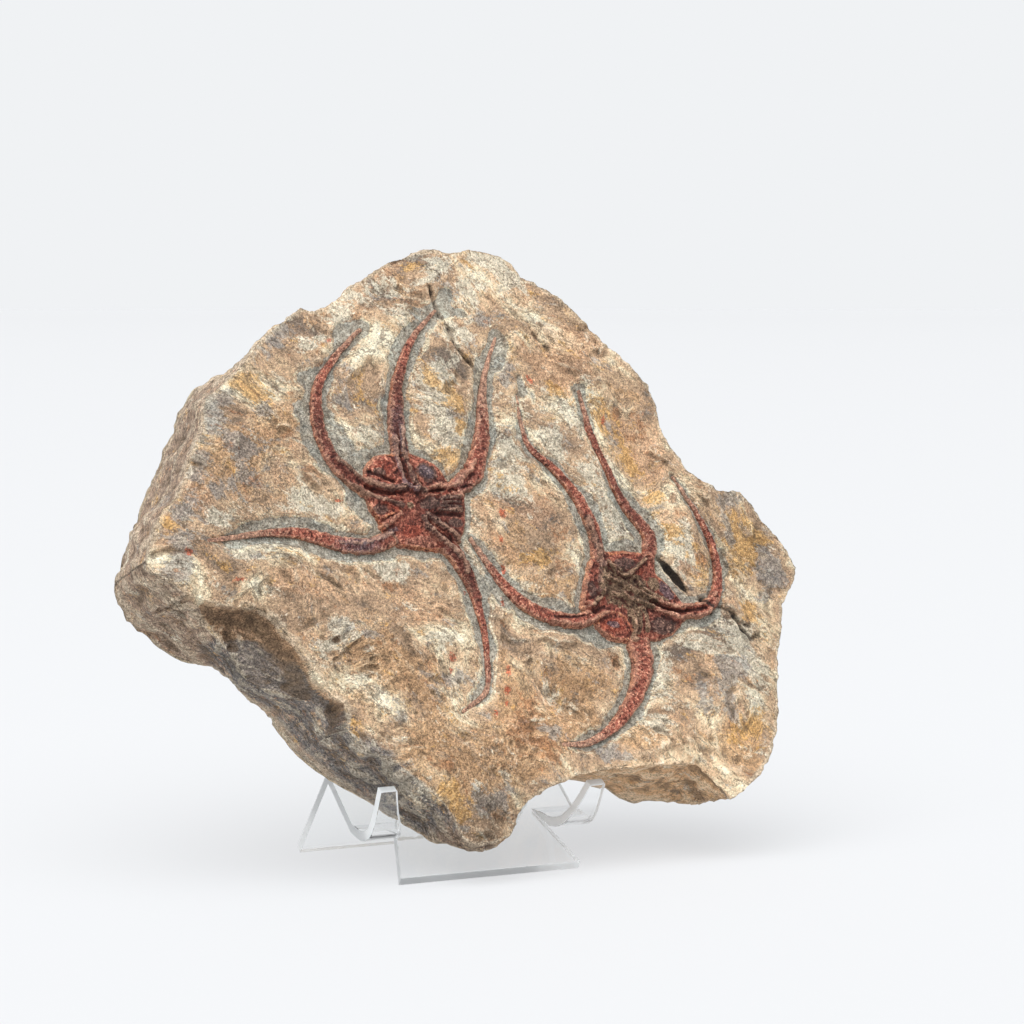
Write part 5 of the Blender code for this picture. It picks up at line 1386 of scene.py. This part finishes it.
# Clear cast acrylic sheet: its faces are as they left the mould, so they are clear and glossy, and
# its edges were sawn, so they are pale and frosted.
acrylic = {
    "face": ("clear_cast_acrylic", 0.02, "#fdfefe", 1.0),      # name, roughness, colour, clearness
    "edge": ("sawn_acrylic_edge", 0.35, "#f6f8f8", 0.6),
    "ior": 1.49,
    "waves": 0.4,                # a mm
    "waveHeight": 0.2,           # mm
    "waveStrength": 0.08,
}


def castAcrylic(name, roughness, code, clear):
    # One of the sheet's two looks, its light bent a little by faint waves.
    material, tree, shader = newTree(name)
    shader.inputs["Base Color"].default_value = linear(code)
    shader.inputs["Transmission Weight"].default_value = clear
    shader.inputs["IOR"].default_value = acrylic["ior"]
    shader.inputs["Roughness"].default_value = roughness
    place = slabPlace(tree)
    waves = addNode(tree, "ShaderNodeTexNoise",
                    {"Vector": place, "Scale": acrylic["waves"], "Detail": 3})
    bump = addNode(tree, "ShaderNodeBump",
                   {"Strength": acrylic["waveStrength"], "Distance": acrylic["waveHeight"] * mm,
                    "Height": waves.outputs[0]})
    tree.links.new(bump.outputs[0], shader.inputs["Normal"])
    return material


studio = {
    "lamp": 5.0,
    "lampToward": (-0.30, -0.42, 0.856),
    "lampEdge": (0.70, 0.93),    # cosines where the lamp starts and is full
    "wall": 0.7,
    "wallFade": (0.14, 0.3),     # heights where the wall starts and stops to dim
    "paper": (0.872, 0.888, 0.905),
    "table": 0.20,               # how much light the table sends back
    "tableGlow": 0.552,          # it is lit from below too,
    "glowLoss": 0.068,           # by this much less far off
    "glowFrom": 0.3,             # metres
    "glowTo": 24.0,
    "glowTint": (0.99, 1.005, 1.03, 1),
    "reach": 60.0,
}


def makeStage():
    # A wide pale table, lit from below as well, a little brighter near the camera.
    mesh = bpy.data.meshes.new("floor")
    reach = studio["reach"]
    mesh.from_pydata([(-reach, -reach, 0), (reach, -reach, 0), (reach, reach, 0), (-reach, reach, 0)],
                     [], [(0, 1, 2, 3)])
    floor = bpy.data.objects.new("floor", mesh)
    bpy.context.scene.collection.objects.link(floor)
    material, tree, shader = newTree("pale_table")
    shader.inputs["Base Color"].default_value = (studio["table"],) * 3 + (1,)
    shader.inputs["Roughness"].default_value = 0.9
    shader.inputs["Specular IOR Level"].default_value = 0.1
    place = addNode(tree, "ShaderNodeTexCoord").outputs["Object"]
    away = addNode(tree, "ShaderNodeVectorMath", {0: place}, operation="LENGTH").outputs["Value"]
    away = addNode(tree, "ShaderNodeMath", {0: away, 1: math.e}, operation="LOGARITHM")
    glow = addNode(tree, "ShaderNodeMapRange",
                   {"Value": away, "From Min": math.log(studio["glowFrom"]),
                    "From Max": math.log(studio["glowTo"]), "To Min": studio["tableGlow"],
                    "To Max": studio["tableGlow"] - studio["glowLoss"]})
    tree.links.new(glow.outputs[0], shader.inputs["Emission Strength"])
    shader.inputs["Emission Color"].default_value = studio["glowTint"]
    mesh.materials.append(material)


def lightScene():
    # A white tent: even at eye level, dimmer above that, with one wide soft lamp overhead.
    scene = bpy.context.scene
    world = bpy.data.worlds.new("studio")
    world.use_nodes = True
    tree = world.node_tree
    background = tree.nodes["Background"]
    toward = addNode(tree, "ShaderNodeTexCoord").outputs["Generated"]
    up = addNode(tree, "ShaderNodeSeparateXYZ", {0: toward}).outputs[2]
    lamp = addNode(tree, "ShaderNodeVectorMath", {0: toward, 1: studio["lampToward"]},
                   operation="DOT_PRODUCT").outputs["Value"]
    lampStart, lampFull = studio["lampEdge"]
    lamp = addNode(tree, "ShaderNodeMapRange",
                   {"Value": lamp, "From Min": lampStart, "From Max": lampFull, "To Min": 0.0,
                    "To Max": studio["lamp"]}).outputs[0]
    wallStart, wallEnd = studio["wallFade"]
    wall = addNode(tree, "ShaderNodeMapRange",
                   {"Value": up, "From Min": wallStart, "From Max": wallEnd, "To Min": 1.0,
                    "To Max": studio["wall"]}).outputs[0]
    total = addNode(tree, "ShaderNodeMath", {0: wall, 1: lamp}, operation="ADD").outputs[0]
    tree.links.new(total, background.inputs[1])
    background.inputs[0].default_value = (*studio["paper"], 1)
    scene.world = world
    scene.view_settings.view_transform = "Standard"
    scene.view_settings.look = "None"
    print("table and light set")


viewpoint = {
    "place": (-0.3838, -0.8205, 0.1766),
    "turn": (85.8, 0, -26),      # degrees
    "lens": 101.95,
    "sensor": 36,
    "clipEnd": 50,
}


def placeCamera():
    # A long lens, left of the front and a little above the slab's middle.
    lens = bpy.data.cameras.new("camera")
    lens.lens = viewpoint["lens"]
    lens.sensor_width = viewpoint["sensor"]
    lens.clip_end = viewpoint["clipEnd"]
    camera = bpy.data.objects.new("camera", lens)
    bpy.context.scene.collection.objects.link(camera)
    camera.location = viewpoint["place"]
    camera.rotation_euler = [math.radians(turn) for turn in viewpoint["turn"]]
    bpy.context.scene.camera = camera
    print("camera set")


placeCamera()
makeStage()
lightScene()
makeSlab(mineral(limestone))
calcite = mineral(ironCalcite)
makeStar("brittle_star_left_surface", leftStar, calcite, "brittle_star_left")
makeStar("brittle_star_right_surface", rightStar, calcite, "brittle_star_right")
makeStand(castAcrylic(*acrylic["face"]), castAcrylic(*acrylic["edge"]))
